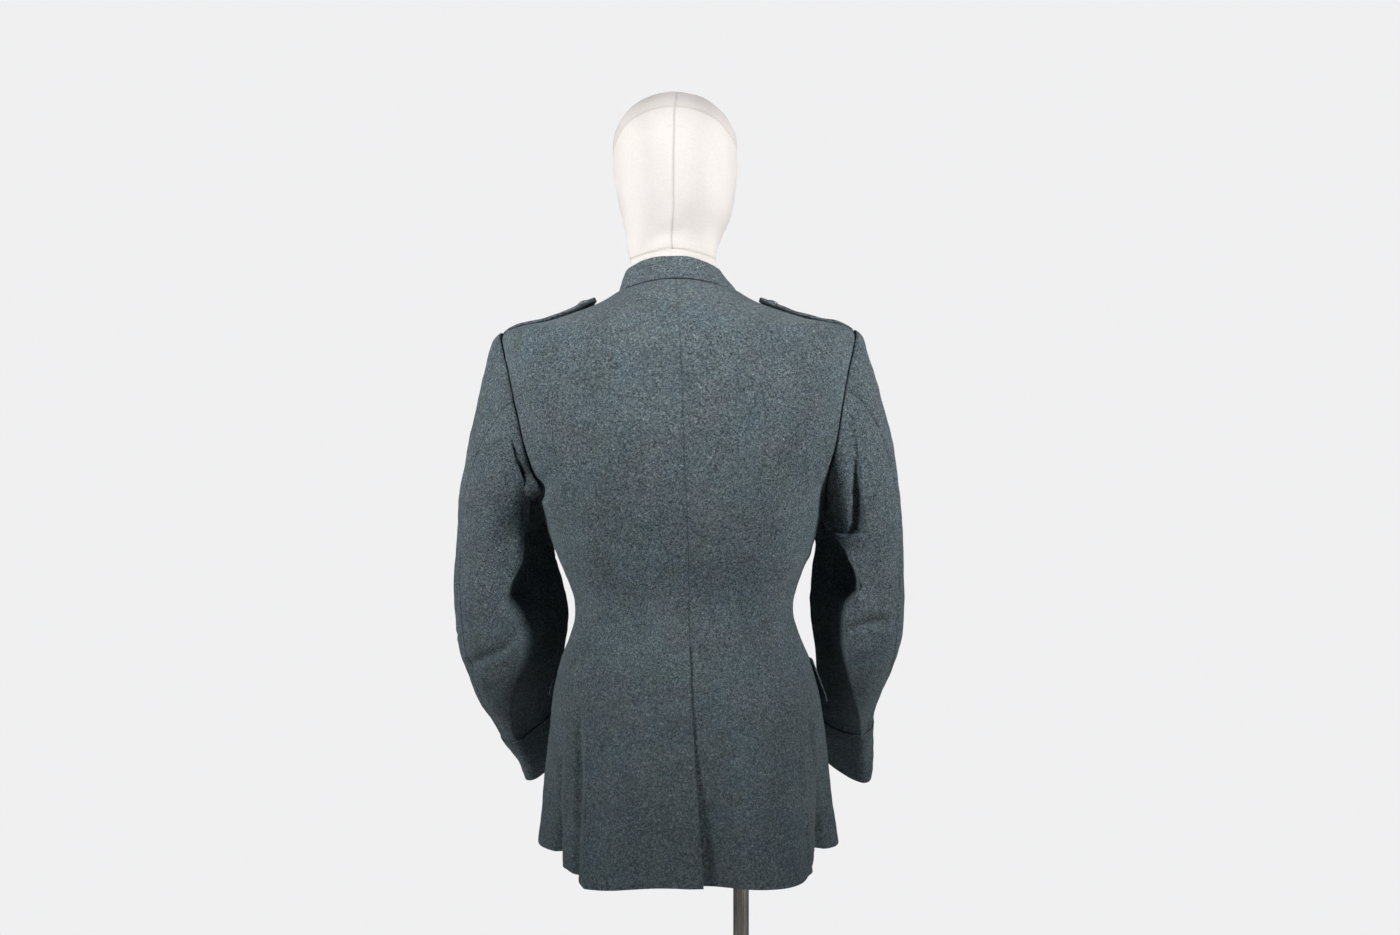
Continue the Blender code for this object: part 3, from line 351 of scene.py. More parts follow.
def on_body(angle, station, lift):
    """Points at a distance outside (or inside, if negative) the jacket's outside."""
    return body(angle, station) + np.asarray(lift)[..., None] * body_normals(angle, station)


def radius_at(angle, station):
    """How far the body's outside is from its middle line."""
    return np.linalg.norm(body(angle, station)[..., :2], axis=-1)


def arc(length, angle, station):
    """The angle that a length round the body takes up there."""
    return length / radius_at(angle, station)


def armhole(turn, front):
    """(angle from the centre back, station) of the armhole's edge.

    turn is 0 at the underarm and pi at the shoulder's tip.
    """
    station = UNDERARM + (SHOULDER_TIP - UNDERARM) * (1 - np.cos(turn)) / 2
    deep = ARMHOLE["deep_front"] if front else ARMHOLE["deep_back"]
    cut = deep * np.sin(turn) * (1 + ARMHOLE["low"] * np.cos(turn))
    return np.radians(90 + cut if front else 90 - cut), station


def back_seam_angle(station):
    """The angle of the centre-back seam."""
    (shift,) = read(BACK_SEAM, station)
    return shift / radius_at(np.zeros_like(shift), station)


def back_lift(side, angle, station):
    """The overlap at the back vent: the right side sinks under the left."""
    if side > 0:
        return np.zeros(np.broadcast(angle, station).shape)
    seam = back_seam_angle(station)
    beside = (seam - angle) * radius_at(angle, station)
    low = 1 - fade(station, *VENT_CLOSES)
    under = (CLOTH + LAP_GAP) * (1 - fade(beside, 0.0, VENT_FADE)) * low
    recess = VENT_RECESS * (1 - fade(beside, 0.0, 2 * VENT_FADE))
    return -under - recess * (1 - fade(station, HEM, VENT_FLAT))


def front_lift(side, angle, station):
    """The overlap at the front: the left side lies over the right."""
    if side < 0:
        return np.zeros(np.broadcast(angle, station).shape)
    past = (angle - math.pi) * radius_at(angle, station)
    return (CLOTH + LAP_GAP) * fade(past, -FRONT_LAP - LAP_FADE, -FRONT_LAP)


# ---------------------------------------------------------------- the sleeves' surface
def sleeve_section(side, round_, down):
    """A point of the sleeve below the cap, where down runs from 0 to 1.

    round_: 0 outside, 0.25 back, 0.5 inside and 0.75 front.
    """
    middle = [row[:3] for row in SLEEVES[side]]
    centre, ahead, behind = (
        np.stack(spaced(middle, at), -1) for at in (down, down + STEP, down - STEP)
    )
    across, deep, roll, slant = spaced([row[3:] for row in SLEEVES[side]], down)
    along = unit(ahead - behind)
    out = unit(np.array([1.0, 0.0, 0.0]) - along[..., :1] * along)
    back = np.cross(out, along)
    roll = np.radians(roll)[..., None]
    major = np.cos(roll) * out + np.sin(roll) * back
    minor = np.cos(roll) * back - np.sin(roll) * out
    turn = 2 * math.pi * np.asarray(round_)
    points = (
        centre
        + (across * np.cos(turn))[..., None] * major
        + (deep * np.sin(turn))[..., None] * minor
        + (slant * across * np.cos(turn))[..., None] * along
    )
    return points * np.array([side, 1.0, 1.0])


def cap_leaving(side, round_):
    """The direction in which the sleeve leaves the armhole."""
    turn = 2 * math.pi * np.asarray(round_)
    out = 0.37 + 0.03 * np.cos(turn)
    back = 0.10 * np.sin(turn)
    return np.stack([side * out, back, np.full_like(turn, -0.92)], -1)


def armhole_at(side, round_):
    """(angle, station) of the armhole's edge, at a share of a turn round the sleeve."""
    turn = math.pi * np.abs(1 - 2 * round_)
    (back, station), (front, _) = armhole(turn, False), armhole(turn, True)
    return side * np.where(round_ > 0.5, front, back), station


def armhole_edge(side, round_):
    """The body's points along the armhole, moved by its folds, where the sleeve starts."""
    if side not in ARMHOLE_MOVES:
        ARMHOLE_MOVES[side] = body_relief(*armhole_at(side, ARMHOLE_STEPS))
    round_ = np.mod(round_, 1.0)
    angle, station = armhole_at(side, round_)
    moves = [np.interp(round_, ARMHOLE_STEPS, move) for move in ARMHOLE_MOVES[side].T]
    return on_body(angle, station, np.full_like(angle, -GROOVE)) + np.stack(moves, -1)


ARMHOLE_MOVES = {}  # worked out once for each side
ARMHOLE_STEPS = np.linspace(0, 1, 721)


def sleeve_cap(side, round_, down):
    """A point of the sleeve's cap: down is 0 at the armhole and 1 at the top section."""
    none = np.zeros_like(np.asarray(round_, float))
    start = armhole_edge(side, round_)
    end = sleeve_section(side, round_, none)
    below = sleeve_section(side, round_, none + 20 * STEP)
    reach = np.linalg.norm(end - start, axis=-1, keepdims=True)
    leave = cap_leaving(side, round_) * reach * CAP_PULL
    arrive = unit(below - end) * reach
    t = np.asarray(down)[..., None]
    top = ((1 + np.cos(2 * math.pi * round_)) / 2)[..., None] ** 4
    fading = np.exp(-t / CAP_FADE) * (1 - t)
    rise = HEAD_RISE * top * (1 - t) ** 1.5 * (1 - np.exp(-t / 0.006))
    roll = HEAD_ROLL * top * (1 - bell(t, 0.05)) * fading
    full = FULLNESS * (1 - bell(t, 0.020)) * fading * (1 - t)
    outward = np.stack([none, np.sin(2 * math.pi * round_), none], -1)
    return (
        (2 * t**3 - 3 * t**2 + 1) * start
        + (t**3 - 2 * t**2 + t) * leave
        + (3 * t**2 - 2 * t**3) * end
        + (t**3 - t**2) * arrive
        + rise * np.array([side * 0.25, 0.0, 1.0])
        + roll * np.array([side * 0.95, 0.0, 0.40])
        + full * outward
        + SEAM_GAP * (1 - t) * cap_leaving(side, round_)
    )


def hollow(table, round_, down, recovers):
    """A hollow behind a sharp edge that runs down the sleeve, as a move of its cloth."""
    table = np.array(table)
    edge, depth, soft = (np.interp(down, table[:, 0], table[:, k]) for k in (1, 2, 3))
    share = (np.mod(round_, 1.0) - edge) / (0.5 - edge)
    past = np.maximum(share, 0)
    sag = depth * (1 - np.exp(-((past / soft) ** 1.25))) * (1 - fade(share, *recovers))
    return sag, 0.22 * sag * np.clip(1 - share, 0, 1)


def sleeve_sag(side, round_, down):
    """How the empty sleeve's inner back quarter sags forward, behind its sharp edges."""
    sag, tuck = hollow(SAGS[side], round_, down, SAG_SPAN)
    valley, fold = hollow(VALLEYS[side], round_, down, VALLEY_SPAN[side])
    return np.stack([side * (tuck + fold), -sag - valley, np.zeros_like(sag)], -1)


def sleeve(side, round_, down):
    """A point of the sleeve: down is 0 at the armhole, 1 below the cap and 2 at the hem."""
    round_, down = np.broadcast_arrays(np.asarray(round_, float), np.asarray(down, float))
    cap = sleeve_cap(side, round_, np.clip(down, 0, 1))
    arm = sleeve_section(side, round_, np.clip(down - 1, 0, 1))
    return np.where((down < 1)[..., None], cap, arm) + sleeve_sag(side, round_, down)


def sleeve_normals(side, round_, down):
    """Unit normals of the sleeve, pointing out of it."""
    inside = np.clip(down, 2 * STEP, 2 - 2 * STEP)
    return -side * normals_of(lambda u, v: sleeve(side, u, v), round_, inside)


# ---------------------------------------------------------------- folds of the cloth
# Each fold is (kind, width, point, point, ...) and each point of its path is (round, along,
# height). Width and height are in millimetres. On the body, round is in degrees from the
# centre back and along is the station in millimetres. On a sleeve, round is in thousandths
# of a turn and along in thousandths of the distance down it. Height is how far the cloth
# stands there: less than 0 for a trough, and 0 where it is left out. A lip stands up on the
# right of the path and sinks on its left, seen from outside by someone who walks along it. A
# swell moves the cloth straight backwards.

# The back's fullness beside the left armhole. The right side mirrors it.
FULL_BACK = (
    (80, 1425), (76, 1400, 3.5), (72, 1365, 7), (70, 1325, 8), (70.5, 1292, 7), (74, 1266, 3.5),
    (80, 1247),
)
BODY_FOLDS = (
    # soft drag folds over the back
    ("soft", 13, (30, 1345), (36, 1325, -1.4), (43, 1300, -1.2), (50, 1285)),
    ("soft", 15, (6, 1330), (13, 1300, -1.4), (20, 1262, -1.5), (27, 1225)),
    ("soft", 14, (14, 1240), (20, 1205, 1), (30, 1170)),
    ("soft", 13, (-58, 1385), (-57, 1350, -1.6), (-56, 1290, -1.4), (-57, 1230)),
    ("soft", 12, (-20, 1250), (-27, 1215, 1.2), (-33, 1175, 1), (-38, 1140)),
    ("soft", 12, (-38, 1255), (-43, 1215, -1.1), (-50, 1170)),
    # the crease at the left underarm and the strain lines from it
    ("soft", 8.5, (72, 1250, -2.5), (66, 1264, -3.4), (58, 1276, -1.8), (50, 1285)),
    ("soft", 9, (80, 1215), (70, 1238, 1.8), (58, 1252, 1.2), (48, 1258)),
    ("crease", 5, (84, 1232), (76, 1243, -1.4), (68, 1247)),
    # the right underarm
    ("soft", 10, (-84, 1225), (-76, 1245, -1.8), (-66, 1270)),
    ("soft", 9, (-88, 1205), (-76, 1220, 1.6), (-62, 1236)),
    ("soft", 9, (-100, 1165), (-86, 1172, 2), (-74, 1180)),
    ("soft", 12, (-97, 1290), (-92, 1266, 5), (-90, 1246, 6), (-92, 1226, 3), (-97, 1205)),
    # across the waist
    ("soft", 10, (28, 1160), (42, 1150, -1), (60, 1158)),
    ("soft", 8, (50, 1125), (66, 1117, -1.2), (88, 1122)),
    ("soft", 9, (-48, 1118), (-66, 1110, -1.3), (-90, 1116)),
    ("soft", 9, (-20, 1105), (-32, 1098, -0.8), (-46, 1102)),
    ("crease", 4.5, (-12.5, 1100), (-12.2, 1085, -1.2), (-11.8, 1070)),
    # hollows low on the back of the skirt
    ("soft", 18, (4, 985), (10, 955, -1.2), (20, 915, -1.6), (28, 880)),
    ("soft", 16, (6, 900), (14, 880, -1.2), (27, 862)),
    ("soft", 16, (-10, 1005), (-13, 985, -1.2), (-17, 960)),
    ("soft", 16, (-12, 925), (-15, 900, -1.3), (-18, 865)),
    # the flutes' edges
    ("soft", 5.2, (56, 1010), (53, 969, -4.6), (50, 913, -7.6), (48.5, 858, -8.4), (48, 800, -8)),
    ("soft", 5.2, (50, 1000), (48, 959, 1.8), (42.5, 897, 3.2), (39, 836, 3.4), (37, 800, 3.4)),
    ("soft", 5.5, (65, 995), (65, 950, -4.2), (67.5, 887, -6.8), (72, 821, -7.6), (73.5, 800, -7.4)),
    ("soft", 5, (60, 985), (58.5, 940, 1.4), (58, 880, 2.2), (59, 800, 2.2)),
    ("soft", 5.8, (-67, 1005), (-67.5, 972, -5), (-68, 935, -8), (-72.5, 869, -9), (-76.5, 811.5, -8.6),
     (-77, 800, -8.6)),
    ("soft", 6, (-58, 990), (-56.5, 932, 2), (-55, 876, 3), (-54, 800, 3)),
    # the fullness of the back beside the armholes
    *(("swell", 19, *((side * at, *rest) for at, *rest in FULL_BACK)) for side in (1, -1)),
    # the back yoke
    ("soft", 8, (64, 1500), (56, 1512, -0.3), (50, 1535)),
    ("crease", 4.2, (-50.5, 1517), (-52.5, 1511.5, -1.1), (-55, 1506, -1), (-57, 1502)),
    # the front
    ("soft", 14, (150, 1380), (138, 1340, -1.3), (124, 1290, -1.5), (112, 1250)),
    ("soft", 14, (-148, 1375), (-136, 1330, -1.4), (-122, 1285, -1.4), (-110, 1250)),
    ("soft", 10, (102, 1250), (116, 1262, 1.8), (132, 1275)),
    ("soft", 10, (-101, 1250), (-114, 1260, 1.8), (-130, 1270)),
    ("soft", 12, (164, 1245), (152, 1200, 1), (140, 1150)),
    ("soft", 12, (-164, 1235), (-150, 1195, 1.1), (-138, 1150)),
    ("soft", 9, (168, 1135), (146, 1124, -1.2), (118, 1130)),
    ("soft", 9, (-168, 1128), (-144, 1116, -1.2), (-116, 1124)),
    ("soft", 10, (172, 1160), (160, 1156, 1), (140, 1164)),
    ("soft", 15, (166, 960), (158, 910, -1.4), (154, 850)),
    ("soft", 15, (-164, 955), (-156, 900, -1.4), (-152, 845)),
)
SLEEVE_FOLDS_LEFT = (
    # the creased hollow behind the underarm and the soft lobe below it
    ("lip", 8.5, (250, 190), (270, 218, 2), (306, 251, 3), (337, 300, 3.2), (369, 370, 3),
     (396, 440, 2.4), (404, 520)),
    ("soft", 9, (350, 30), (372, 70, 10), (388, 110, 14), (400, 180, 10), (408, 270, 4), (412, 350)),
    ("swell", 6, (355, 20), (375, 60, 5), (392, 110, 7), (404, 190, 3.5), (412, 270)),
    # beside the hollow's sharp edge
    ("soft", 9, (390, 420), (372, 780, 2.2), (350, 985, 2.6), (318, 1090, 2.6), (275, 1180)),
    ("soft", 12, (300, 1270), (280, 1400, 2.2), (235, 1510, 2.2), (170, 1640)),
    # soft hollows down the outside
    ("soft", 11.5, (250, 660), (232, 810, -2.6), (212, 958, -2.6), (196, 1060)),
    ("soft", 9, (275, 720), (256, 860, 1.4), (240, 1010)),
    ("soft", 12.5, (128, 130), (160, 280, -1.7), (205, 440)),
    ("soft", 16, (240, 980), (225, 1080, -2.2), (215, 1170)),
    ("soft", 11, (80, 400), (95, 620, 1.2), (110, 900)),
    ("soft", 15, (235, 500), (240, 800, 3), (225, 1000, 3.6), (180, 1150, 4), (150, 1300, 4),
     (120, 1450)),
    # the elbow
    ("soft", 8, (10, 1460), (60, 1430, -4.6), (140, 1392, -4.8), (203, 1366, -4.6), (262, 1320, -3),
     (320, 1280)),
    ("soft", 9, (30, 1520), (110, 1470, 2.4), (200, 1430)),
    ("soft", 6.5, (60, 1300), (122, 1284, -2.6), (195, 1296)),
    ("crease", 5.5, (-50, 1352), (0, 1352, -1.6), (50, 1345)),
    # inside and front of the arm
    ("crease", 9, (520, 1230), (600, 1262, -4), (690, 1270, -3.6), (780, 1250)),
    ("crease", 8.5, (560, 1330), (640, 1352, -3.6), (740, 1350)),
    ("soft", 9, (580, 1140), (660, 1170, -2.4), (760, 1160)),
    ("soft", 11, (800, 220), (760, 500, -2), (730, 850)),
    ("soft", 10, (640, 300), (660, 600, -2.4), (690, 950)),
    ("soft", 11, (870, 1000), (820, 1140, -2), (790, 1260)),
)
SLEEVE_FOLDS_RIGHT = (
    # the long fold behind the arm, which hooks in under the armhole
    ("lip", 8.5, (215, 130), (232, 267, -1), (252, 419, -1.4), (266, 522.5, -1.6), (277, 714, -1.8),
     (276, 940, -2.2), (310, 998, -3.4), (365, 1006, -3.4), (408, 1000)),
    ("swell", 15, (400, 40), (418, 120, 9), (428, 220, 15), (430, 340, 16), (424, 480, 12),
     (410, 620, 4), (400, 720)),
    ("soft", 11, (185, 250), (197, 350, 2.6), (222, 480, 1.6), (250, 680)),
    ("soft", 13, (290, 200), (330, 420, 2.6), (350, 700, 3.4), (355, 930)),
    # beside the deep fold into the bend of the arm
    ("soft", 9, (360, 1030), (310, 1080, 2.4), (275, 1140, 2.4), (266, 1190, 1.6), (285, 1225)),
    ("soft", 13, (232, 1180, -3.6), (205, 1200, -2.8), (150, 1230)),
    # the elbow
    ("soft", 7.5, (300, 1330), (270, 1316, -4.4), (225, 1300, -5.8), (167, 1296, -5), (85, 1300, -2.4),
     (20, 1300)),
    ("soft", 9.5, (280, 1390), (200, 1360, 2.8), (100, 1350)),
    ("soft", 9, (180, 1255), (130, 1250, 1.6), (90, 1250)),
    # soft hollows down the outside
    ("soft", 12, (100, 420), (120, 640, -1.6), (150, 900)),
    ("soft", 12, (180, 700), (200, 860, -1.4), (205, 1040)),
    ("soft", 12, (140, 1440), (120, 1560, -1.6), (60, 1680)),
    # inside and front of the arm
    ("crease", 9, (530, 1220), (610, 1255, -4.2), (700, 1262, -3.6), (790, 1245)),
    ("crease", 8.5, (570, 1320), (650, 1345, -3.6), (750, 1340)),
    ("soft", 9, (590, 1130), (670, 1160, -2.4), (770, 1150)),
    ("soft", 11, (810, 220), (770, 500, -2), (740, 850)),
    ("soft", 10, (640, 300), (660, 600, -2.4), (690, 950)),
    ("soft", 11, (880, 1000), (830, 1140, -2), (800, 1260)),
)
SLEEVE_FOLDS = {1: SLEEVE_FOLDS_LEFT, -1: SLEEVE_FOLDS_RIGHT}
BACKWARD = np.array([0.0, 1.0, 0.0])
MILLI = 0.001
PATH_POINTS = 30
FOLD_REACH = 2.8  # how many widths away a fold is still felt
LIP_STEP = 0.20  # how softly a lip rises, as a share of its width
WAVES = 26


def lip(x):
    """A step: up to the right, down to the left, both dying away."""
    share = (1 + np.tanh(x / LIP_STEP)) / 2
    return share * 0.55 * bell(x, 1.15) - (1 - share) * bell(x, 0.95)


FOLD_SHAPES = {
    "soft": lambda x: np.exp(-(x**2)),
    "crease": lambda x: np.exp(-np.abs(x) ** 1.3 / 0.40) - 0.32 * bell(np.abs(x) - 1.25, 0.65),
    "lip": lip,
    "swell": lambda x: np.exp(-np.abs(x)),
}


def fold_moves(folds, place, points, normals):
    """How far the folds move the cloth at each of the points, as vectors."""
    flat, up = points.reshape(-1, 3), normals.reshape(-1, 3)
    moved = np.zeros_like(flat)
    for kind, width, *path in folds:
        path = np.array([(*point, 0)[:3] for point in path], float)
        width *= MILLI
        at = np.linspace(0, len(path) - 1, PATH_POINTS)
        curve = place(*spaced(path[:, :2], at, len(path) - 1))
        stand = np.interp(at, range(len(path)), MILLI * path[:, 2])
        reach = FOLD_REACH * width
        inside = (flat > curve.min(0) - reach) & (flat < curve.max(0) + reach)
        near = np.flatnonzero(inside.all(1))
        if not len(near):
            continue
        run = np.diff(curve, axis=0)
        offset = flat[near][:, None] - curve[:-1]
        share = np.clip((offset * run).sum(-1) / (run**2).sum(-1), 0, 1)
        gap = offset - share[..., None] * run
        distance = np.linalg.norm(gap, axis=-1)
        best = distance.argmin(1)
        row = np.arange(len(near))
        right = unit(np.cross(run[best], up[near]))
        side = (gap[row, best] * right).sum(-1)
        across = np.copysign(distance[row, best], side) / width
        height = np.interp(best + share[row, best], range(len(at)), stand)
        rise = height * FOLD_SHAPES[kind](across)
        moved[near] += rise[:, None] * (BACKWARD if kind == "swell" else up[near])
        if kind == "lip":
            raised = (1 + np.tanh(np.sign(height) * across / LIP_STEP)) / 2
            lean_over = (0.35 - 1.15 * raised) * height * bell(across, 0.75)
            moved[near] += lean_over[:, None] * right
    return moved.reshape(points.shape)


def ripple(points, seed, size, wave, stretch=(1, 1, 1)):
    """Soft uneven waves all over, about `size` high and `wave` long."""
    draw = np.random.default_rng(seed)
    total = np.zeros(points.shape[:-1])
    for _ in range(WAVES):
        direction = draw.normal(size=3)
        direction /= np.linalg.norm(direction)
        direction *= 2 * math.pi / (wave * draw.uniform(0.7, 1.8)) / np.array(stretch)
        total += np.sin(points @ direction + draw.uniform(0, 2 * math.pi))
    return size * total * math.sqrt(2 / WAVES)


def body_relief(angle, station):
    """How far the folds move the body's cloth off its smooth surface, as vectors."""
    angle = np.broadcast_to(angle, np.broadcast(angle, station).shape)
    points, normals = body(angle, station), body_normals(angle, station)
    loose = 1 - YOKE_CALM * fade(station, *YOKE_SPAN)
    height = ripple(points, 11, 0.00055, 0.060, (1, 1, 1.7)) * loose
    height += ripple(points, 12, 0.00016, 0.020) * loose
    folded = fold_moves(
        BODY_FOLDS, lambda u, v: body(np.radians(u), MILLI * v), points, normals
    )
    return folded + height[..., None] * normals


def sleeve_relief(side, round_, down, points, normals):
    """How far the folds move a sleeve's cloth, as vectors; nothing at the armhole."""
    height = ripple(points, 21 + side, 0.00060, 0.050, (1, 1, 1.7))
    height += ripple(points, 31 + side, 0.00018, 0.018)
    folded = fold_moves(
        SLEEVE_FOLDS[side], lambda u, v: sleeve(side, MILLI * u, MILLI * v), points, normals
    )
    return (folded + height[..., None] * normals) * fade(down, 0.0, 0.07)[..., None]


# ---------------------------------------------------------------- shells of cloth
def graded(start, end, cell, fine_start=True, fine_end=True):
    """Values from start to end, a cell apart, and closer together at the edges."""
    length = abs(end - start)
    low = [s for s in EDGE_STEPS if fine_start] or [0.0]
    high = [length - s for s in reversed(EDGE_STEPS) if fine_end] or [length]
    count = max(1, round((high[0] - low[-1]) / cell))
    steps = low[:-1] + list(np.linspace(low[-1], high[0], count + 1)) + high[1:]
    return start + math.copysign(1.0, end - start) * np.array(steps)


def shares(length, cell, *fine):
    """The same over a length, as shares of it."""
    return graded(0.0, length, cell, *fine) / length


def distance_to(points, line):
    """The distance from each point to a line through points."""
    flat = points.reshape(-1, 3)
    start, run = line[:-1], np.diff(line, axis=0)
    length = np.maximum((run**2).sum(-1), 1e-18)
    nearest = np.full(len(flat), np.inf)
    for k in range(0, len(flat), 4000):
        offset = flat[k : k + 4000, None] - start
        share = np.clip((offset * run).sum(-1) / length, 0, 1)
        gap = offset - share[..., None] * run
        nearest[k : k + 4000] = np.sqrt((gap**2).sum(-1).min(1))
    return nearest.reshape(points.shape[:-1])


def edge_distance(points, *edges):
    """The distance to the nearest of the grid's named edges: low, high, start or end."""
    lines = {"low": points[0], "high": points[-1], "start": points[:, 0], "end": points[:, -1]}
    return np.min([distance_to(points, lines[name]) for name in edges or lines], axis=0)


def rolled(distance, wall):
    """How far a face sinks beside an edge, so that the edge is round."""
    half = wall / 2
    return half - np.sqrt(half**2 - (half - np.minimum(distance, half)) ** 2)


def leaned(points):
    """The upright points, leaned sideways with the form."""
    moved = np.array(points, float).reshape(-1, 3)
    moved[:, 2] -= SHOULDER_DROP * moved[:, 0] * fade(moved[:, 2], *DROP_SPAN)
    comes, goes = (fade(moved[:, 2], *span) for span in SWAY_SPANS)
    sway = comes * (1 - goes)
    moved[:, 0] += LEAN * (moved[:, 2] - LEAN_PIVOT) + NECK_SWAY * sway
    return moved


def quads(rows, columns, closed=False):
    """The faces of a grid of points, as numbers of its points."""
    r = np.arange(rows - 1)[:, None]
    c = np.arange(columns if closed else columns - 1)[None]
    d = (c + 1) % columns
    faces = [r * columns + c, r * columns + d, (r + 1) * columns + d, (r + 1) * columns + c]
    return np.stack(np.broadcast_arrays(*faces), -1).reshape(-1, 4)


def add_mesh(name, points, faces, look, lean=True, marks=None):
    """A smooth object from points and faces, riding on the part's body."""
    points = leaned(points) if lean else np.array(points, float).reshape(-1, 3)
    mesh = bpy.data.meshes.new(name)
    mesh.from_pydata(points.tolist(), [], [list(face) for face in faces])
    mesh.materials.append(look)
    mesh.shade_smooth()
    for mark, values in (marks or {}).items():
        attribute = mesh.attributes.new(mark, "FLOAT", "POINT")
        attribute.data.foreach_set("value", np.asarray(values, np.float32).ravel())
    made = bpy.data.objects.new(name, mesh)
    bpy.context.scene.collection.objects.link(made)
    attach(made, "root")
    return made


def outward(points, faces):
    """The faces, turned round if they point into the solid."""
    a, b, c = (points[faces[:, k]] for k in (0, 1, 2))
    d = points[faces[:, 3]]
    volume = (a * (np.cross(b, c) + np.cross(c, d))).sum()
    return faces if volume > 0 else faces[:, ::-1]


def shell(name, surface, normals, edges_at, wall, look, closed=False):
    """A sheet of cloth with round edges, whose outside is a grid of points."""
    wall = np.broadcast_to(wall, edges_at.shape)
    sink = rolled(edges_at, wall)[..., None]
    outer = surface - sink * normals
    inner = surface - (wall[..., None] - sink) * normals
    rows, columns = surface.shape[:2]
    number = np.arange(rows * columns).reshape(rows, columns)
    rim = np.zeros((rows, columns), bool)
    rim[[0, -1]] = True
    if not closed:
        rim[:, [0, -1]] = True
    behind = number.copy()
    behind[~rim] = rows * columns + np.arange((~rim).sum())
    points = np.concatenate([outer.reshape(-1, 3), inner[~rim]])
    front = quads(rows, columns, closed)
    faces = np.concatenate([front, behind.reshape(-1)[front][:, ::-1]])
    return add_mesh(name, points, outward(points, faces), look)


# ---------------------------------------------------------------- the body's panels
def fine_rows(front, cell):
    """(station in the middle, station and angle at the outer edge) of each row, hem up."""
    rows = [(s, s, math.pi / 2) for s in graded(HEM, UNDERARM, cell, True, False)[:-1]]
    count = round((SHOULDER_TIP - UNDERARM) / cell)
    for k in range(count + 1):
        share = k / count
        angle, station = armhole(math.pi * share, front)
        middle = UNDERARM + (SHOULDER_TIP - UNDERARM) * share
        rows.append((middle, float(station), float(angle)))
    for s in graded(SHOULDER_TIP, NECKLINE - SEAM_GAP, cell, False, True)[1:]:
        rows.append((s, s, math.pi / 2))
    return np.array(rows)


def panel_grid(side, front):
    """The angles and stations of a panel's grid, from the middle out to its edge."""
    cell = FRONT_CELL if front else CELL
    middle, edge_station, edge = fine_rows(front, cell).T
    if front:
        near = side * (math.pi + arc(FRONT_LAP, math.pi, middle))
    else:
        near = back_seam_angle(middle) + side * arc(SEAM_GAP / 2, 0.0, middle)
        if side < 0:
            lay = UNDERLAY * (1 - fade(middle, VENT_TOP - UNDERLAY_END, VENT_TOP + UNDERLAY_END))
            near = near + arc(lay, 0.0, middle)
    gap = arc(SEAM_GAP / 2, edge, edge_station)
    edge = edge + (gap if front else -gap)
    share = shares(PANEL_WIDTH, cell)
    angles = near[:, None] + (side * edge - near)[:, None] * share
    stations = middle[:, None] + (edge_station - middle)[:, None] * share**1.2
    return angles, stations


def make_panel(side, front, name, look):
    angles, stations = panel_grid(side, front)
    base, normals = body(angles, stations), body_normals(angles, stations)
    lift = (front_lift if front else back_lift)(side, angles, stations)
    dip = GROOVE * bell(edge_distance(base, "end", "high"), GROOVE_WIDTH)
    if not front:
        above = fade(stations, VENT_TOP - UNDERLAY_END, VENT_TOP + 0.010)
        seam = body(back_seam_angle(stations[:, 0]), stations[:, 0])
        dip += GROOVE * bell(distance_to(base, seam), GROOVE_WIDTH) * above
    dip += NECK_GROOVE * bell(edge_distance(base, "high"), GROOVE_WIDTH)
    surface = base + body_relief(angles, stations) + (lift - dip)[..., None] * normals
    return shell(name, surface, normals, edge_distance(base), CLOTH, look)


# ---------------------------------------------------------------- sleeves and cuffs
# The columns of points from a hollow's sharp edge to the fore seam, close together at both.
FROM_EDGE = np.concatenate([
    np.arange(0, 0.012, 0.0011), np.arange(0.0135, 0.083, SLEEVE_CELL),
    0.0850 + np.array([0, 0.0013, 0.0021, 0.0026, 0.0029]),
])


def fine_sleeve_grid(side, upper):
    """Where a sleeve half's points run: shares of a turn, and distances down the sleeve."""
    cap = shares(CAP_LENGTH, SLEEVE_CELL, True, False)[:-1]
    arm = 1 + shares(ARM_LENGTH, SLEEVE_CELL, False, True)
    down = np.concatenate([cap, arm])
    hind, fore = (spline(*zip(*seam), down)[:, None] for seam in (HIND_SEAM[side], FORE_SEAM))
    if upper:
        share = shares(UPPER_WIDTH, 1.35 * SLEEVE_CELL)
        round_ = fore + (1 + hind - fore) * share
    else:
        edge, inside = (
            np.interp(down, *np.array(table)[:, :2].T)[:, None]
            for table in (SAGS[side], VALLEYS[side])
        )
        inside = hind + (edge - hind) * np.clip((inside - hind) / (edge - hind), 0.2, 0.8)
        share = shares(FOLD_WIDTH, SLEEVE_CELL)
        round_ = np.concatenate([
            hind + (inside - hind) * share[:-1],
            inside + (edge - inside) * share[:-1],
            edge + (fore - edge) * FROM_EDGE / FROM_EDGE[-1],
        ], 1)
    gap = SEAM_GAP / 2 / SLEEVE_GIRTH
    round_[:, 0] += gap
    round_[:, -1] -= gap
    return round_, np.broadcast_to(down[:, None], round_.shape)


def make_sleeve(side, upper, name, look):
    round_, down = fine_sleeve_grid(side, upper)
    base, normals = sleeve(side, round_, down), sleeve_normals(side, round_, down)
    hind, fore = ("end", "start") if upper else ("start", "end")
    dip = GROOVE * np.maximum(
        HIND_GROOVE[side] * bell(edge_distance(base, hind), GROOVE_WIDTH),
        bell(edge_distance(base, "low", fore), GROOVE_WIDTH),
    )
    surface = base + sleeve_relief(side, round_, down, base, normals) - dip[..., None] * normals
    return shell(name, surface, normals, edge_distance(base), CLOTH, look)


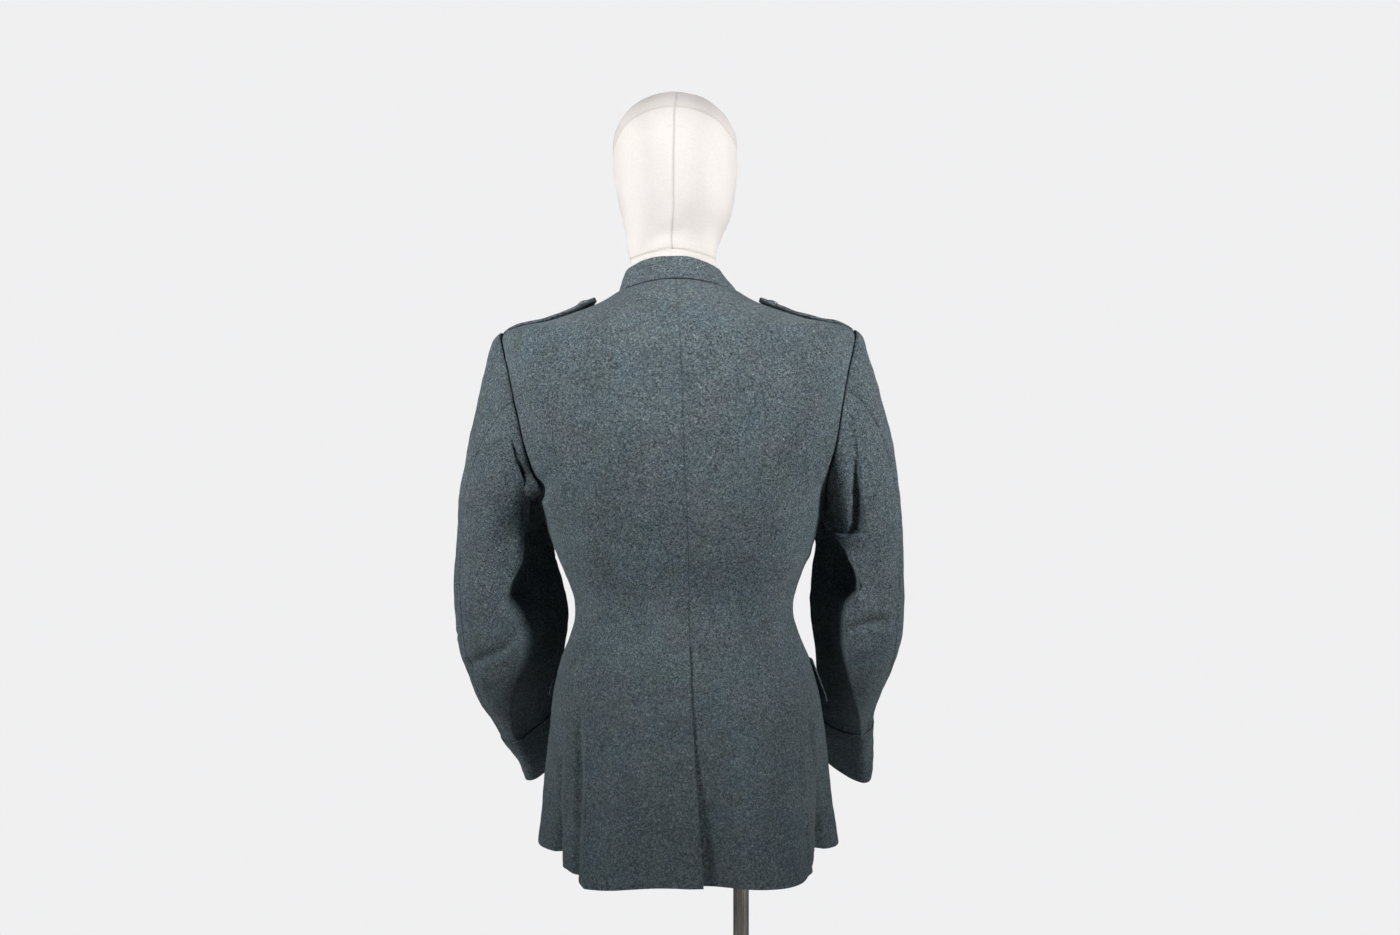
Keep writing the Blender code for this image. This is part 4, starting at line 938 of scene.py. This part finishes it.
def make_cuff(side, name, look):
    """The turned-back cuff, a ring round the sleeve's end."""
    down = CUFF_TOP + (2 - CUFF_TOP) * shares(CUFF_LENGTH, CELL)
    columns = round(CUFF_GIRTH / CELL)
    round_, down = np.meshgrid(np.arange(columns) / columns, down)
    base, normals = sleeve(side, round_, down), sleeve_normals(side, round_, down)
    moved = sleeve_relief(side, round_, down, base, normals)
    steps = np.linalg.norm(np.diff(base[:, 0], axis=0), axis=1)
    low = np.concatenate([[0.0], np.cumsum(steps)])
    at_edge = np.minimum(low, low[-1] - low)[:, None] * np.ones(down.shape)
    surface = base + moved + (CUFF_GAP + CUFF_WALL) * normals
    return shell(name, surface, normals, at_edge, CUFF_WALL, look, closed=True)


# ---------------------------------------------------------------- collar, straps and flaps
def grid_normals(points, outside):
    """Unit normals of a grid of points, turned to the side of the directions given."""
    normal = unit(np.cross(np.gradient(points, axis=0), np.gradient(points, axis=1)))
    return normal * np.sign((normal * outside).sum(-1))[..., None]


def make_collar(look):
    opening = math.radians(COLLAR_OPENING)
    share = shares(COLLAR_GIRTH, CELL)
    angle = (opening - math.pi) + 2 * (math.pi - opening) * share
    base = body(angle, np.full_like(angle, NECKLINE))
    top = ring_point(angle, square=2.0, **COLLAR_TOP)[1]
    top[:, 2] += COLLAR_SQUARE * np.sin(2 * angle) ** 2 * (np.cos(angle) > 0)
    up = unit(top - base)
    outside = unit(np.cross(np.gradient(base, axis=0), up))
    outside *= np.sign((outside[:, :2] * base[:, :2]).sum(-1))[:, None]
    height = shares(COLLAR_HEIGHT, SMALL_CELL)[:, None, None]
    start = base + LAP_GAP * up
    bow = COLLAR_BOW * 4 * height * (1 - height) - COLLAR_TUCK * (1 - height) ** 12
    surface = start + (top - start) * height + bow * outside
    normals = grid_normals(surface, outside)
    surface = surface + ripple(surface, 51, 0.00022, 0.030)[..., None] * normals
    return shell("wool_collar", surface, normals, edge_distance(surface), COLLAR_WALL, look)


def strap_points(side, station, across, lift):
    """Points over the shoulder: across is from its ridge, in metres towards the front."""
    reach = read([row[:2] for row in BODY_RINGS], station)[0]
    return on_body(side * np.arccos(np.clip(-across / reach, -1, 1)), station, lift)


def strap_rise(side, station):
    share = (station - STRAP["outer"]) / (STRAP["inner"] - STRAP["outer"])
    return STRAP["rise"] + STRAP_STAND + STRAP_LIFT[side] * fade(share, 0.55, 1.0)


def stitches(at_edge, inset, depth):
    """How far a row of stitches pulls the cloth in beside its edge."""
    return depth * bell(at_edge - inset, STITCH_WIDTH)


def make_strap(side, name, look):
    station = graded(STRAP["outer"], STRAP["inner"], SMALL_CELL)
    share = (station - station[0]) / (station[-1] - station[0])
    half = STRAP["half_width"] + (STRAP["inner_half_width"] - STRAP["half_width"]) * share
    end = np.clip((share - STRAP_END) / (1 - STRAP_END), 0, 1)
    half = half * (1 - STRAP_TAPER * end**1.15)
    across = half[:, None] * (2 * shares(STRAP_WIDTH, SMALL_CELL) - 1)
    station, share = (np.broadcast_to(v[:, None], across.shape) for v in (station, share))
    thick = STRAP["thick"] * (STRAP_THIN + (1 - STRAP_THIN) * fade(share, 0.0, 0.30))
    lift = strap_rise(side, station) + thick - STRAP_SINK * (1 - fade(share, 0.0, 0.28))
    flat = strap_points(side, station, across, np.zeros(across.shape))
    at_edge = edge_distance(flat)
    lift = lift - stitches(at_edge, *STRAP_STITCHES) + ripple(flat, 61 + side, 0.00030, 0.024)
    surface = strap_points(side, station, across, lift)
    normals = grid_normals(surface, body_normals(side * math.pi / 2, station))
    return shell(name, surface, normals, at_edge, thick, look)


def make_flap(side, name, look):
    """A hip pocket flap, which stands off the skirt towards its lower edge."""
    mean_radius = float(radius_at(math.radians(120.0), FLAP["top"]))
    first, last = (math.radians(FLAP[end] + FLAP_SHIFT[side]) for end in ("from_angle", "to_angle"))
    length = (last - first) * mean_radius
    along = graded(0.0, length, FLAP_CELL)
    corner = FLAP["corner"]
    from_corner = corner - np.minimum(np.minimum(along, length - along), corner)
    bottom = FLAP["bottom"] + 0.7 * (corner - np.sqrt(corner**2 - from_corner**2))
    share = shares(FLAP_HEIGHT, FLAP_CELL)[:, None]
    stations = FLAP["top"] + (bottom - FLAP["top"]) * share
    angles = np.broadcast_to(side * (first + along / mean_radius), stations.shape)
    base, normals = body(angles, stations), body_normals(angles, stations)
    at_edge = edge_distance(base)
    lift = FLAP["gap"] + FLAP["stand"] * share**1.3 + FLAP["thick"]
    lift = lift + ripple(base, 71 + side, 0.0003, 0.03) - stitches(at_edge, *FLAP_STITCHES)
    surface = base + body_relief(angles, stations) + lift[..., None] * normals
    return shell(name, surface, grid_normals(surface, normals), at_edge, FLAP["thick"], look)


# ---------------------------------------------------------------- turned pieces
def turned(name, profile, look, centre, axis, sides, lean=True):
    """A turned solid. profile: (radius, height) pairs up the axis; it ends on the axis."""
    centre, axis = np.array(centre, float), unit(np.array(axis, float))
    helper = np.array([1.0, 0, 0]) if abs(axis[0]) < 0.8 else np.array([0, 1.0, 0])
    u = unit(np.cross(axis, helper))
    v = np.cross(axis, u)
    turn = np.arange(sides)[:, None] * 2 * math.pi / sides
    circle = np.cos(turn) * u + np.sin(turn) * v
    rings = np.array([centre + r * circle + h * axis for r, h in profile])
    tips = [centre + profile[k][1] * axis for k in (0, -1)]
    return rings_solid(name, rings, look, tips, lean)


def rings_solid(name, rings, look, tips, lean=True, marks=None):
    """A solid through closed rings of points, closed at both ends by a tip."""
    rows, columns = rings.shape[:2]
    points = np.concatenate([rings.reshape(-1, 3), tips])
    faces = quads(rows, columns, True)
    facing_out = outward(points, faces)
    step = 1 if facing_out is faces else -1
    fans = []
    for ring, tip in ((0, len(points) - 2), (rows - 1, len(points) - 1)):
        for c in range(columns):
            a, b = ring * columns + c, ring * columns + (c + 1) % columns
            fans.append(((b, a, tip) if ring == 0 else (a, b, tip))[::step])
    return add_mesh(name, points, facing_out.tolist() + fans, look, lean, marks)


def rounded(corners, radius, steps=5):
    """A profile of (radius, height) corners with its inner corners rounded."""
    corners = np.array(corners, float)
    made = [corners[0]]
    for before, corner, after in zip(corners, corners[1:], corners[2:]):
        into, out = before - corner, after - corner
        size = min(radius, np.linalg.norm(into) / 2, np.linalg.norm(out) / 2)
        a = corner + into / np.linalg.norm(into) * size
        b = corner + out / np.linalg.norm(out) * size
        for t in np.linspace(0, 1, steps + 1):
            made.append((1 - t) ** 2 * a + 2 * t * (1 - t) * corner + t**2 * b)
    made.append(corners[-1])
    return made


def make_button(name, seat, axis, sizes, look):
    """A domed metal button with a rolled rim."""
    r, h = sizes["radius"], sizes["height"]
    shape = [(0.0, 0.0), (0.80, 0.0), (0.93, 0.06), (1.0, 0.20), (1.0, 0.34), (0.955, 0.46),
             (0.90, 0.47), (0.865, 0.44)]
    shape += [(0.85 * math.cos(t), 0.46 + 0.54 * math.sin(t)) for t in np.linspace(0.02, 1.45, 9)]
    profile = [(max(out, TIP_RADIUS) * r, up * h) for out, up in shape + [(0.0, 1.0)]]
    return turned(name, profile, look, seat, axis, 48)


def make_front_buttons(look):
    heights = np.linspace(FRONT_BUTTON["top"], FRONT_BUTTON["bottom"], FRONT_BUTTONS)
    for k, station in enumerate(heights):
        relief = body_relief(np.array([math.pi]), np.array([station]))[0]
        seat = on_body(math.pi, station, CLOTH + LAP_GAP + BUTTON_GAP) + relief
        normal = body_normals(math.pi, station)
        made = make_button(f"metal_front_{k + 1}", seat, normal, FRONT_BUTTON, look)
        stand_for(made, f"front_button_{k + 1}")


def make_strap_button(side, name, look):
    near = STRAP_BUTTON["station"] + np.array([-0.006, 0.0, 0.006])
    points = strap_points(side, near, np.zeros(3), strap_rise(side, near) + STRAP["thick"])
    slope = points[2] - points[0]
    normal = unit(np.array([-slope[2], 0.0, slope[0]]))
    normal *= math.copysign(1.0, normal[2])
    seat = points[1] + STRAP_BUTTON_GAP * normal
    made = make_button("metal_" + name, seat, normal, STRAP_BUTTON, look)
    stand_for(made, name)


def stand_for(made, node):
    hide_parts(node)


# ---------------------------------------------------------------- the form and its stand
# The distances of the form's columns of points from its back seam, at FORM_RADIUS.
BESIDE_SEAM = (0.0006, 0.0014, 0.0026, 0.0045, 0.0075, 0.0120, 0.0190)
FORM_RADIUS = 0.08
TORSO_ROWS = ((0.875, 1.44, 70), (1.447, 1.588, 28))  # first and last station, how many
CROWN_HEIGHT = 1.7240  # of the crown seam, at the back
DART_HEIGHT = 1.696


def form_angles(count=150):
    """Angles round the form, closer together beside the seam down its back."""
    beside = np.array(BESIDE_SEAM) / FORM_RADIUS
    right = np.concatenate([beside[:-1], np.linspace(beside[-1], math.pi, count // 2)])
    return np.concatenate([[0.0], right, -right[:-1][::-1]])


def make_torso(look):
    stations = np.concatenate([np.linspace(*rows) for rows in TORSO_ROWS])
    angles = form_angles()
    insets = np.interp(stations, *zip(*FORM_INSETS)) + FORM_SLACK
    rings = [
        on_body(angles, np.full_like(angles, station), np.full_like(angles, -inset))
        for station, inset in zip(stations, insets)
    ]
    rings[0][:, 2] = stations[0]
    last = len(NECK_RINGS) - 1
    for row in np.linspace(0, last, 22):
        z_back, z_side, z_front, *reaches = spaced(NECK_RINGS, row, last)
        rings.append(ring_point(angles, *reaches, z_back, z_side, z_front, 2.0)[1])
    rings = np.array(rings)
    groove = bell(angles * 0.04, 0.0011) * FORM_GROOVE
    rings[len(stations) :, :, 1] -= groove * np.cos(angles)
    tips = [rings[0].mean(0), np.array([0.0, 0.0, NECK_RINGS[-1][1]])]
    return rings_solid("form_torso_linen", rings, look, tips)


def head_seams(x, y, z, angle):
    """How deep the head's seams are at each point, as a share, and the crown seam's height."""
    wander = 0.0016 * np.sin((z - 1.56) * 28) - 0.0035 * fade(z, 1.705, 1.76)
    middle = bell(x - wander, 0.0011) * (y > -0.02)
    crown = CROWN_HEIGHT - 0.030 * (1 - np.cos(angle)) - 0.012 * np.sin(angle) ** 2
    dart = bell(z - DART_HEIGHT + 0.25 * np.abs(x), 0.0010) * bell(x, 0.010) * (y > 0)
    return np.maximum.reduce([middle, 0.8 * bell(z - crown, 0.0013), 0.45 * dart]), crown


def make_head(look):
    top_y, top_z = HEAD_TOP
    # Past the top the rings are mirrored, so that the curves run level over it.
    mirror = [(z, y, -width, -back, -front) for z, y, width, back, front in HEAD_RINGS[:-4:-1]]
    table = (*HEAD_RINGS, (top_z, top_y, 0.0, 0.0, 0.0), *mirror)
    last = len(HEAD_RINGS)
    angles = form_angles()
    at = np.concatenate([np.linspace(0, last - 1, 90), np.linspace(last - 1, last - 0.06, 14)[1:]])
    neck_back, neck_side, neck_front = NECK_RINGS[-1][:3]
    rings = []
    for row in at:
        z, centre, *reaches = spaced(table, row, len(table) - 1)
        level = max(0.0, 1 - row / 4) ** 2
        ends = (z, z - level * (neck_back - neck_side), z - level * (neck_back - neck_front))
        rings.append(ring_point(angles, *reaches, *ends, 2.0)[1] + np.array([0.0, centre, 0.0]))
    rings = np.array(rings)
    outside = grid_normals(rings, rings - np.array([0, top_y, 1.66]))
    seam, crown = head_seams(rings[..., 0], rings[..., 1], rings[..., 2], angles)
    turn_in = rolled(np.arange(len(at))[:, None] * 0.0022, 0.0024)
    rings = rings - (FORM_GROOVE * seam + turn_in)[..., None] * outside
    rings += (ripple(rings, 81, 0.00035, 0.035) * fade(at, 0.2, 2.0)[:, None])[..., None] * outside
    rings[..., 2] += HEAD_GAP * (1 - fade(at, 0, 2))[:, None]
    tips = [np.array([0.0, 0.0, neck_side + HEAD_GAP]), np.array([0.0, top_y, top_z])]
    # Painted shade: the canvas above the crown seam is marked here and darkened in its material.
    above = np.append(fade(rings[..., 2] - crown, -0.0008, 0.0008), [0.0, 1.0])
    marks = {"crown": above, "seam": np.append(seam, [0.0, 0.0])}
    return rings_solid("form_head_linen", rings, look, tips, marks=marks)


STAND = (  # node, place of its foot, sides, rounding, and corners as (radius, height)
    ("stand_base", (0, 0, 0), 160, 0.0022, ((0, 0), (0.200, 0), (0.200, 0.008), (0, 0.008))),
    ("stand_boss", (POLE_X, 0, 0.0083), 64, 0.0012,
     ((0, 0), (0.020, 0), (0.020, 0.026), (0.016, 0.030), (0, 0.030))),
    ("stand_pole", (POLE_X, 0, 0.0386), 64, 0,
     ((0, 0), (0.0099, 0), (0.010, 0.0002), (0.010, 0.8212), (0.0099, 0.8214), (0, 0.8214))),
    ("stand_socket", (POLE_X, 0, 0.8604), 64, 0.0008,
     ((0, 0), (0.021, 0), (0.024, 0.004), (0.024, 0.014), (0, 0.014))),
)


def make_stand(look):
    for node, foot, sides, rounding, corners in STAND:
        corners = rounded(corners, rounding) if rounding else corners
        profile = [(max(r, TIP_RADIUS), h) for r, h in corners]
        made = turned(f"{node}_steel", profile, look, foot, (0, 0, 1), sides, lean=False)
        stand_for(made, node)


# ---------------------------------------------------------------- materials
class Look:
    """A material that is built one node a call."""

    def __init__(self, name, roughness, **sockets):
        self.material = bpy.data.materials.new(name)
        self.material.use_nodes = True
        self.tree = self.material.node_tree
        self.shader = self.tree.nodes["Principled BSDF"]
        for socket, value in {"Roughness": roughness, **sockets}.items():
            self.shader.inputs[socket.replace("_", " ")].default_value = value
        self.place = self.add("ShaderNodeTexCoord").outputs["Object"]

    def add(self, kind, links=(), **settings):
        node = self.tree.nodes.new(kind)
        for name, value in settings.items():
            setattr(node, name, value)
        for socket, value in dict(links).items():
            if isinstance(value, bpy.types.NodeSocket):
                self.tree.links.new(value, node.inputs[socket])
            else:
                node.inputs[socket].default_value = value
        return node

    def stretched(self, *scale):
        links = {"Vector": self.place, "Scale": scale}
        return self.add("ShaderNodeMapping", links).outputs["Vector"]

    def noise(self, scale, detail=2.0, rough=0.5, distortion=0.0, place=None):
        links = {"Vector": place or self.place, "Scale": scale, "Detail": detail,
                 "Roughness": rough, "Distortion": distortion}
        return self.add("ShaderNodeTexNoise", links).outputs["Fac"]

    def math(self, operation, a, b=0.0):
        return self.add("ShaderNodeMath", {0: a, 1: b}, operation=operation).outputs[0]

    def times(self, a, b):
        return self.math("MULTIPLY", a, b)

    def between(self, value, low, high, to_low=0.0, to_high=1.0):
        links = {"Value": value, "From Min": low, "From Max": high,
                 "To Min": to_low, "To Max": to_high}
        return self.add("ShaderNodeMapRange", links, interpolation_type="SMOOTHSTEP").outputs[0]

    def curl(self, scale, thin, distortion, break_scale, share):
        """Short curled fibres: thin bands of one noise, broken up by another."""
        band = self.math("SUBTRACT", self.noise(scale, 1.0, 0.5, distortion), 0.5)
        line = self.between(self.math("ABSOLUTE", band), thin, 0.0)
        return self.times(line, self.between(self.noise(break_scale, 1.0), share, share + 0.05))

    def mix(self, share, a, b, blend="MIX"):
        node = self.add("ShaderNodeMix", {0: share, 6: a, 7: b}, data_type="RGBA", blend_type=blend)
        return node.outputs[2]

    def shaded(self, colour, shade):
        grey = self.add("ShaderNodeCombineColor", {0: shade, 1: shade, 2: shade}).outputs[0]
        return self.mix(1.0, colour, grey, "MULTIPLY")

    def finish(self, colour, bump=None, roughness=None):
        """The finished material. bump: (height, distance, strength)."""
        self.tree.links.new(colour, self.shader.inputs["Base Color"])
        if roughness:
            self.tree.links.new(roughness, self.shader.inputs["Roughness"])
        if bump:
            node = self.add("ShaderNodeBump", zip(("Height", "Distance", "Strength"), bump))
            self.tree.links.new(node.outputs["Normal"], self.shader.inputs["Normal"])
        return self.material


def rgb(r, g, b):
    return (r, g, b, 1.0)


def wool_look():
    """Felted melange wool: grey-green fibres with pale and dark curls among them."""
    look = Look("melange_wool", 0.92, Specular_IOR_Level=0.20, Sheen_Weight=0.16,
                Sheen_Roughness=0.50, Sheen_Tint=rgb(0.62, 0.70, 0.72))
    tint = look.between(look.noise(17.0, 3.0, 0.55), 0.34, 0.66)
    ground = look.mix(tint, rgb(0.082, 0.116, 0.135), rgb(0.094, 0.115, 0.130))
    green = look.noise(31.0, 3.0, 0.6, place=look.stretched(1.0, 1.3, 0.9))
    green = look.times(look.between(green, 0.46, 0.70), 0.7)
    ground = look.mix(green, ground, rgb(0.089, 0.117, 0.117))
    cloud = look.between(look.noise(24.0, 4.0, 0.6), 0.32, 0.68, 0.88, 1.12)
    blotch = look.between(look.noise(300.0, 3.0, 0.65), 0.34, 0.66, 0.70, 1.30)
    fine = look.between(look.noise(640.0, 3.0, 0.8), 0.33, 0.67, 0.02, 1.98)
    # Lower down the fine grain is weaker and fewer pale and white curls show, so the cloth is darker
    # towards the bottom.
    height = look.add("ShaderNodeSeparateXYZ", {0: look.place}).outputs["Z"]
    grain_by_height = look.between(height, 0.85, 1.30, 0.62, 1.0)
    fine = look.math("ADD", look.times(look.math("SUBTRACT", fine, 1.0), grain_by_height), 1.0)
    ground = look.shaded(ground, look.times(cloud, look.times(blotch, fine)))
    dark = look.curl(520.0, 0.080, 1.6, 430.0, 0.48)
    ground = look.mix(look.times(dark, 0.80), ground, rgb(0.022, 0.033, 0.041))
    pale = look.curl(440.0, 0.062, 2.0, 360.0, 0.51)
    pale_share = look.times(pale, look.times(grain_by_height, 0.74))
    ground = look.mix(pale_share, ground, rgb(0.312, 0.362, 0.381))
    white = look.curl(290.0, 0.026, 2.4, 260.0, 0.61)
    white_share = look.times(white, look.times(grain_by_height, 0.84))
    ground = look.mix(white_share, ground, rgb(0.700, 0.750, 0.750))
    felt = look.times(look.noise(620.0, 4.0, 0.75), 0.9)
    felt = look.math("ADD", felt, look.times(pale, 0.30))
    return look.finish(ground, (felt, 0.0008, 0.9))


def linen_look():
    """Cream stretched canvas over the head and body of the form."""
    look = Look("cream_canvas_cloth", 0.82, Specular_IOR_Level=0.25, Sheen_Weight=0.10,
                Sheen_Roughness=0.5)
    tint = look.between(look.noise(9.0, 3.0, 0.5), 0.35, 0.68)
    ground = look.mix(tint, rgb(0.690, 0.655, 0.630), rgb(0.670, 0.628, 0.602))
    # The crown mark is painted shade over the top of the head, above the crown seam.
    for mark, share, shade in (
        ("crown", 0.55, rgb(0.560, 0.515, 0.490)), ("seam", 0.62, rgb(0.360, 0.310, 0.290)),
    ):
        marked = look.add("ShaderNodeAttribute", attribute_name=mark).outputs["Fac"]
        ground = look.mix(look.times(marked, share), ground, shade)
    warp, weft = (
        look.noise(1.0, 1.0, 0.5, 0.0, look.stretched(*scale))
        for scale in ((1900.0, 1900.0, 260.0), (260.0, 260.0, 1900.0))
    )
    weave = look.math("ADD", warp, weft)
    ground = look.shaded(ground, look.between(weave, 0.7, 1.3, 0.95, 1.04))
    return look.finish(ground, (weave, 0.00012, 0.6))


def button_look():
    """Dull, slightly worn white metal."""
    look = Look("worn_button_metal", 0.42, Metallic=0.92)
    grime = look.between(look.noise(420.0, 4.0, 0.6), 0.40, 0.66)
    ground = look.mix(grime, rgb(0.42, 0.41, 0.38), rgb(0.20, 0.19, 0.17))
    rough = look.between(look.noise(700.0, 3.0), 0.3, 0.7, 0.34, 0.58)
    return look.finish(ground, (look.noise(1500.0, 2.0), 0.00008, 0.7), rough)


def steel_look():
    """Steel brushed along its height."""
    look = Look("brushed_steel_metal", 0.30, Metallic=1.0)
    lines = look.noise(1.0, 3.0, 0.6, 0.0, look.stretched(1500.0, 1500.0, 18.0))
    smudge = look.between(look.noise(14.0, 4.0, 0.6), 0.40, 0.70)
    ground = look.mix(smudge, rgb(0.80, 0.745, 0.705), rgb(0.70, 0.65, 0.615))
    return look.finish(ground, (lines, 0.00005, 0.6), look.between(lines, 0.3, 0.7, 0.24, 0.44))


def floor_look():
    look = Look("pale_floor", 0.75)
    shade = look.between(look.noise(3.0, 3.0), 0.3, 0.7)
    return look.finish(look.mix(shade, rgb(0.90, 0.90, 0.895), rgb(0.87, 0.87, 0.865)))


# ---------------------------------------------------------------- camera, light and floor
CAMERA_PLACE = (-0.020, 1.28, 1.28)  # it looks level at the jacket's back
LENS, SENSOR = 25.714, 36.0
LIGHTS = (  # name, place, what it points at, size, power and spread
    ("left_light", (1.77, 1.02, 1.95), (0.0, 0.0, 1.58), 0.60, 6.25, 1.08),
    ("right_light", (-1.77, 1.02, 1.95), (0.0, 0.0, 1.58), 0.60, 6.25, 1.08),
    ("front_light", (0.0, -2.7, 1.75), (0.0, 0.0, 1.25), 1.6, 40.0),
    *(("floor_light", (x, y, 0.80), (x, y - 0.001, 0.0), 1.6, 3.3)
      for y in (0.85, -0.85) for x in (0.85, -0.85)),
    ("low_fill", (0.0, 2.2, 0.85), (0.0, 0.0, 1.66), 0.30, 0.12, 0.26),
)
ROOM_SEEN = (0.87, 0.87, 0.88, 1.0)  # the room as the camera sees it
ROOM_LIGHT = (0.96, 0.98, 1.0, 1.0)  # and as it lights the pieces
ROOM_POWER = 0.036
FLOOR_RADIUS = 1.4
FLOOR_SIDES = 96
FLOOR_GAP = 0.0005  # between the stand's base and the floor


def add_object(name, data, location):
    """An object in the scene, for a camera, a light or a mesh."""
    made = bpy.data.objects.new(name, data)
    made.location = location
    bpy.context.scene.collection.objects.link(made)
    return made


def make_camera():
    camera = bpy.data.cameras.new("camera")
    camera.lens, camera.sensor_width = LENS, SENSOR
    made = add_object("camera", camera, CAMERA_PLACE)
    made.rotation_euler = (math.radians(90), 0.0, math.radians(180))
    bpy.context.scene.camera = made


def make_light(name, location, target, size, power, spread=math.pi):
    light = bpy.data.lights.new(name, "AREA")
    light.shape = "DISK"
    light.size = size
    light.energy = power
    light.spread = spread
    aim = (Vector(target) - Vector(location)).to_track_quat("-Z", "Y")
    add_object(name, light, location).rotation_euler = aim.to_euler()


def make_surroundings():
    for name, location, target, size, power, *spread in LIGHTS:
        make_light(name, location, target, size, power, *spread)
    world = bpy.data.worlds.new("pale_room")
    world.use_nodes = True
    nodes, links = world.node_tree.nodes, world.node_tree.links
    nodes.clear()
    out = nodes.new("ShaderNodeOutputWorld")
    seen, lit = nodes.new("ShaderNodeBackground"), nodes.new("ShaderNodeBackground")
    seen.inputs["Color"].default_value = ROOM_SEEN
    lit.inputs["Color"].default_value = ROOM_LIGHT
    lit.inputs["Strength"].default_value = ROOM_POWER
    path, mix = nodes.new("ShaderNodeLightPath"), nodes.new("ShaderNodeMixShader")
    links.new(path.outputs["Is Camera Ray"], mix.inputs[0])
    links.new(lit.outputs[0], mix.inputs[1])
    links.new(seen.outputs[0], mix.inputs[2])
    links.new(mix.outputs[0], out.inputs["Surface"])
    bpy.context.scene.world = world
    bpy.context.scene.view_settings.view_transform = "Standard"
    turn = np.linspace(0, 2 * math.pi, FLOOR_SIDES, endpoint=False)
    rim = np.stack([FLOOR_RADIUS * np.cos(turn), FLOOR_RADIUS * np.sin(turn), 0 * turn - FLOOR_GAP], 1)
    mesh = bpy.data.meshes.new("floor")
    mesh.from_pydata(rim.tolist(), [], [tuple(range(FLOOR_SIDES))])
    mesh.materials.append(floor_look())
    add_object("floor", mesh, (0.0, 0.0, 0.0))


# ---------------------------------------------------------------- the whole
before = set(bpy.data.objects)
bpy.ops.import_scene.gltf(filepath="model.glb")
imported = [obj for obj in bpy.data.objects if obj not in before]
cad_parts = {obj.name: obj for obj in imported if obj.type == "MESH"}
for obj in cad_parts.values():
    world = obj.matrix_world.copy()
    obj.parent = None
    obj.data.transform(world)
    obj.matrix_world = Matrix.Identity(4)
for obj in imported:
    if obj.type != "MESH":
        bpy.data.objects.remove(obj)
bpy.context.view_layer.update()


def main():
    make_camera()
    wool, linen = wool_look(), linen_look()
    metal, steel = button_look(), steel_look()
    made = {}
    for side, hand in ((1, "left"), (-1, "right")):
        made[f"back_{hand}"] = make_panel(side, False, f"wool_back_{hand}", wool)
        made[f"front_{hand}"] = make_panel(side, True, f"wool_front_{hand}", wool)
        for upper, part in ((True, "upper"), (False, "under")):
            node = f"sleeve_{hand}_{part}"
            made[node] = make_sleeve(side, upper, f"wool_{node}", wool)
        made[f"cuff_{hand}"] = make_cuff(side, f"wool_cuff_{hand}", wool)
        made[f"shoulder_strap_{hand}"] = make_strap(side, f"wool_strap_{hand}", wool)
        made[f"pocket_flap_{hand}"] = make_flap(side, f"wool_flap_{hand}", wool)
        make_strap_button(side, f"strap_button_{hand}", metal)
    made["collar"] = make_collar(wool)
    for node, piece in made.items():
        stand_for(piece, node)
    make_front_buttons(metal)
    stand_for(make_torso(linen), "form_torso")
    stand_for(make_head(linen), "form_head")
    make_stand(steel)
    make_surroundings()


main()
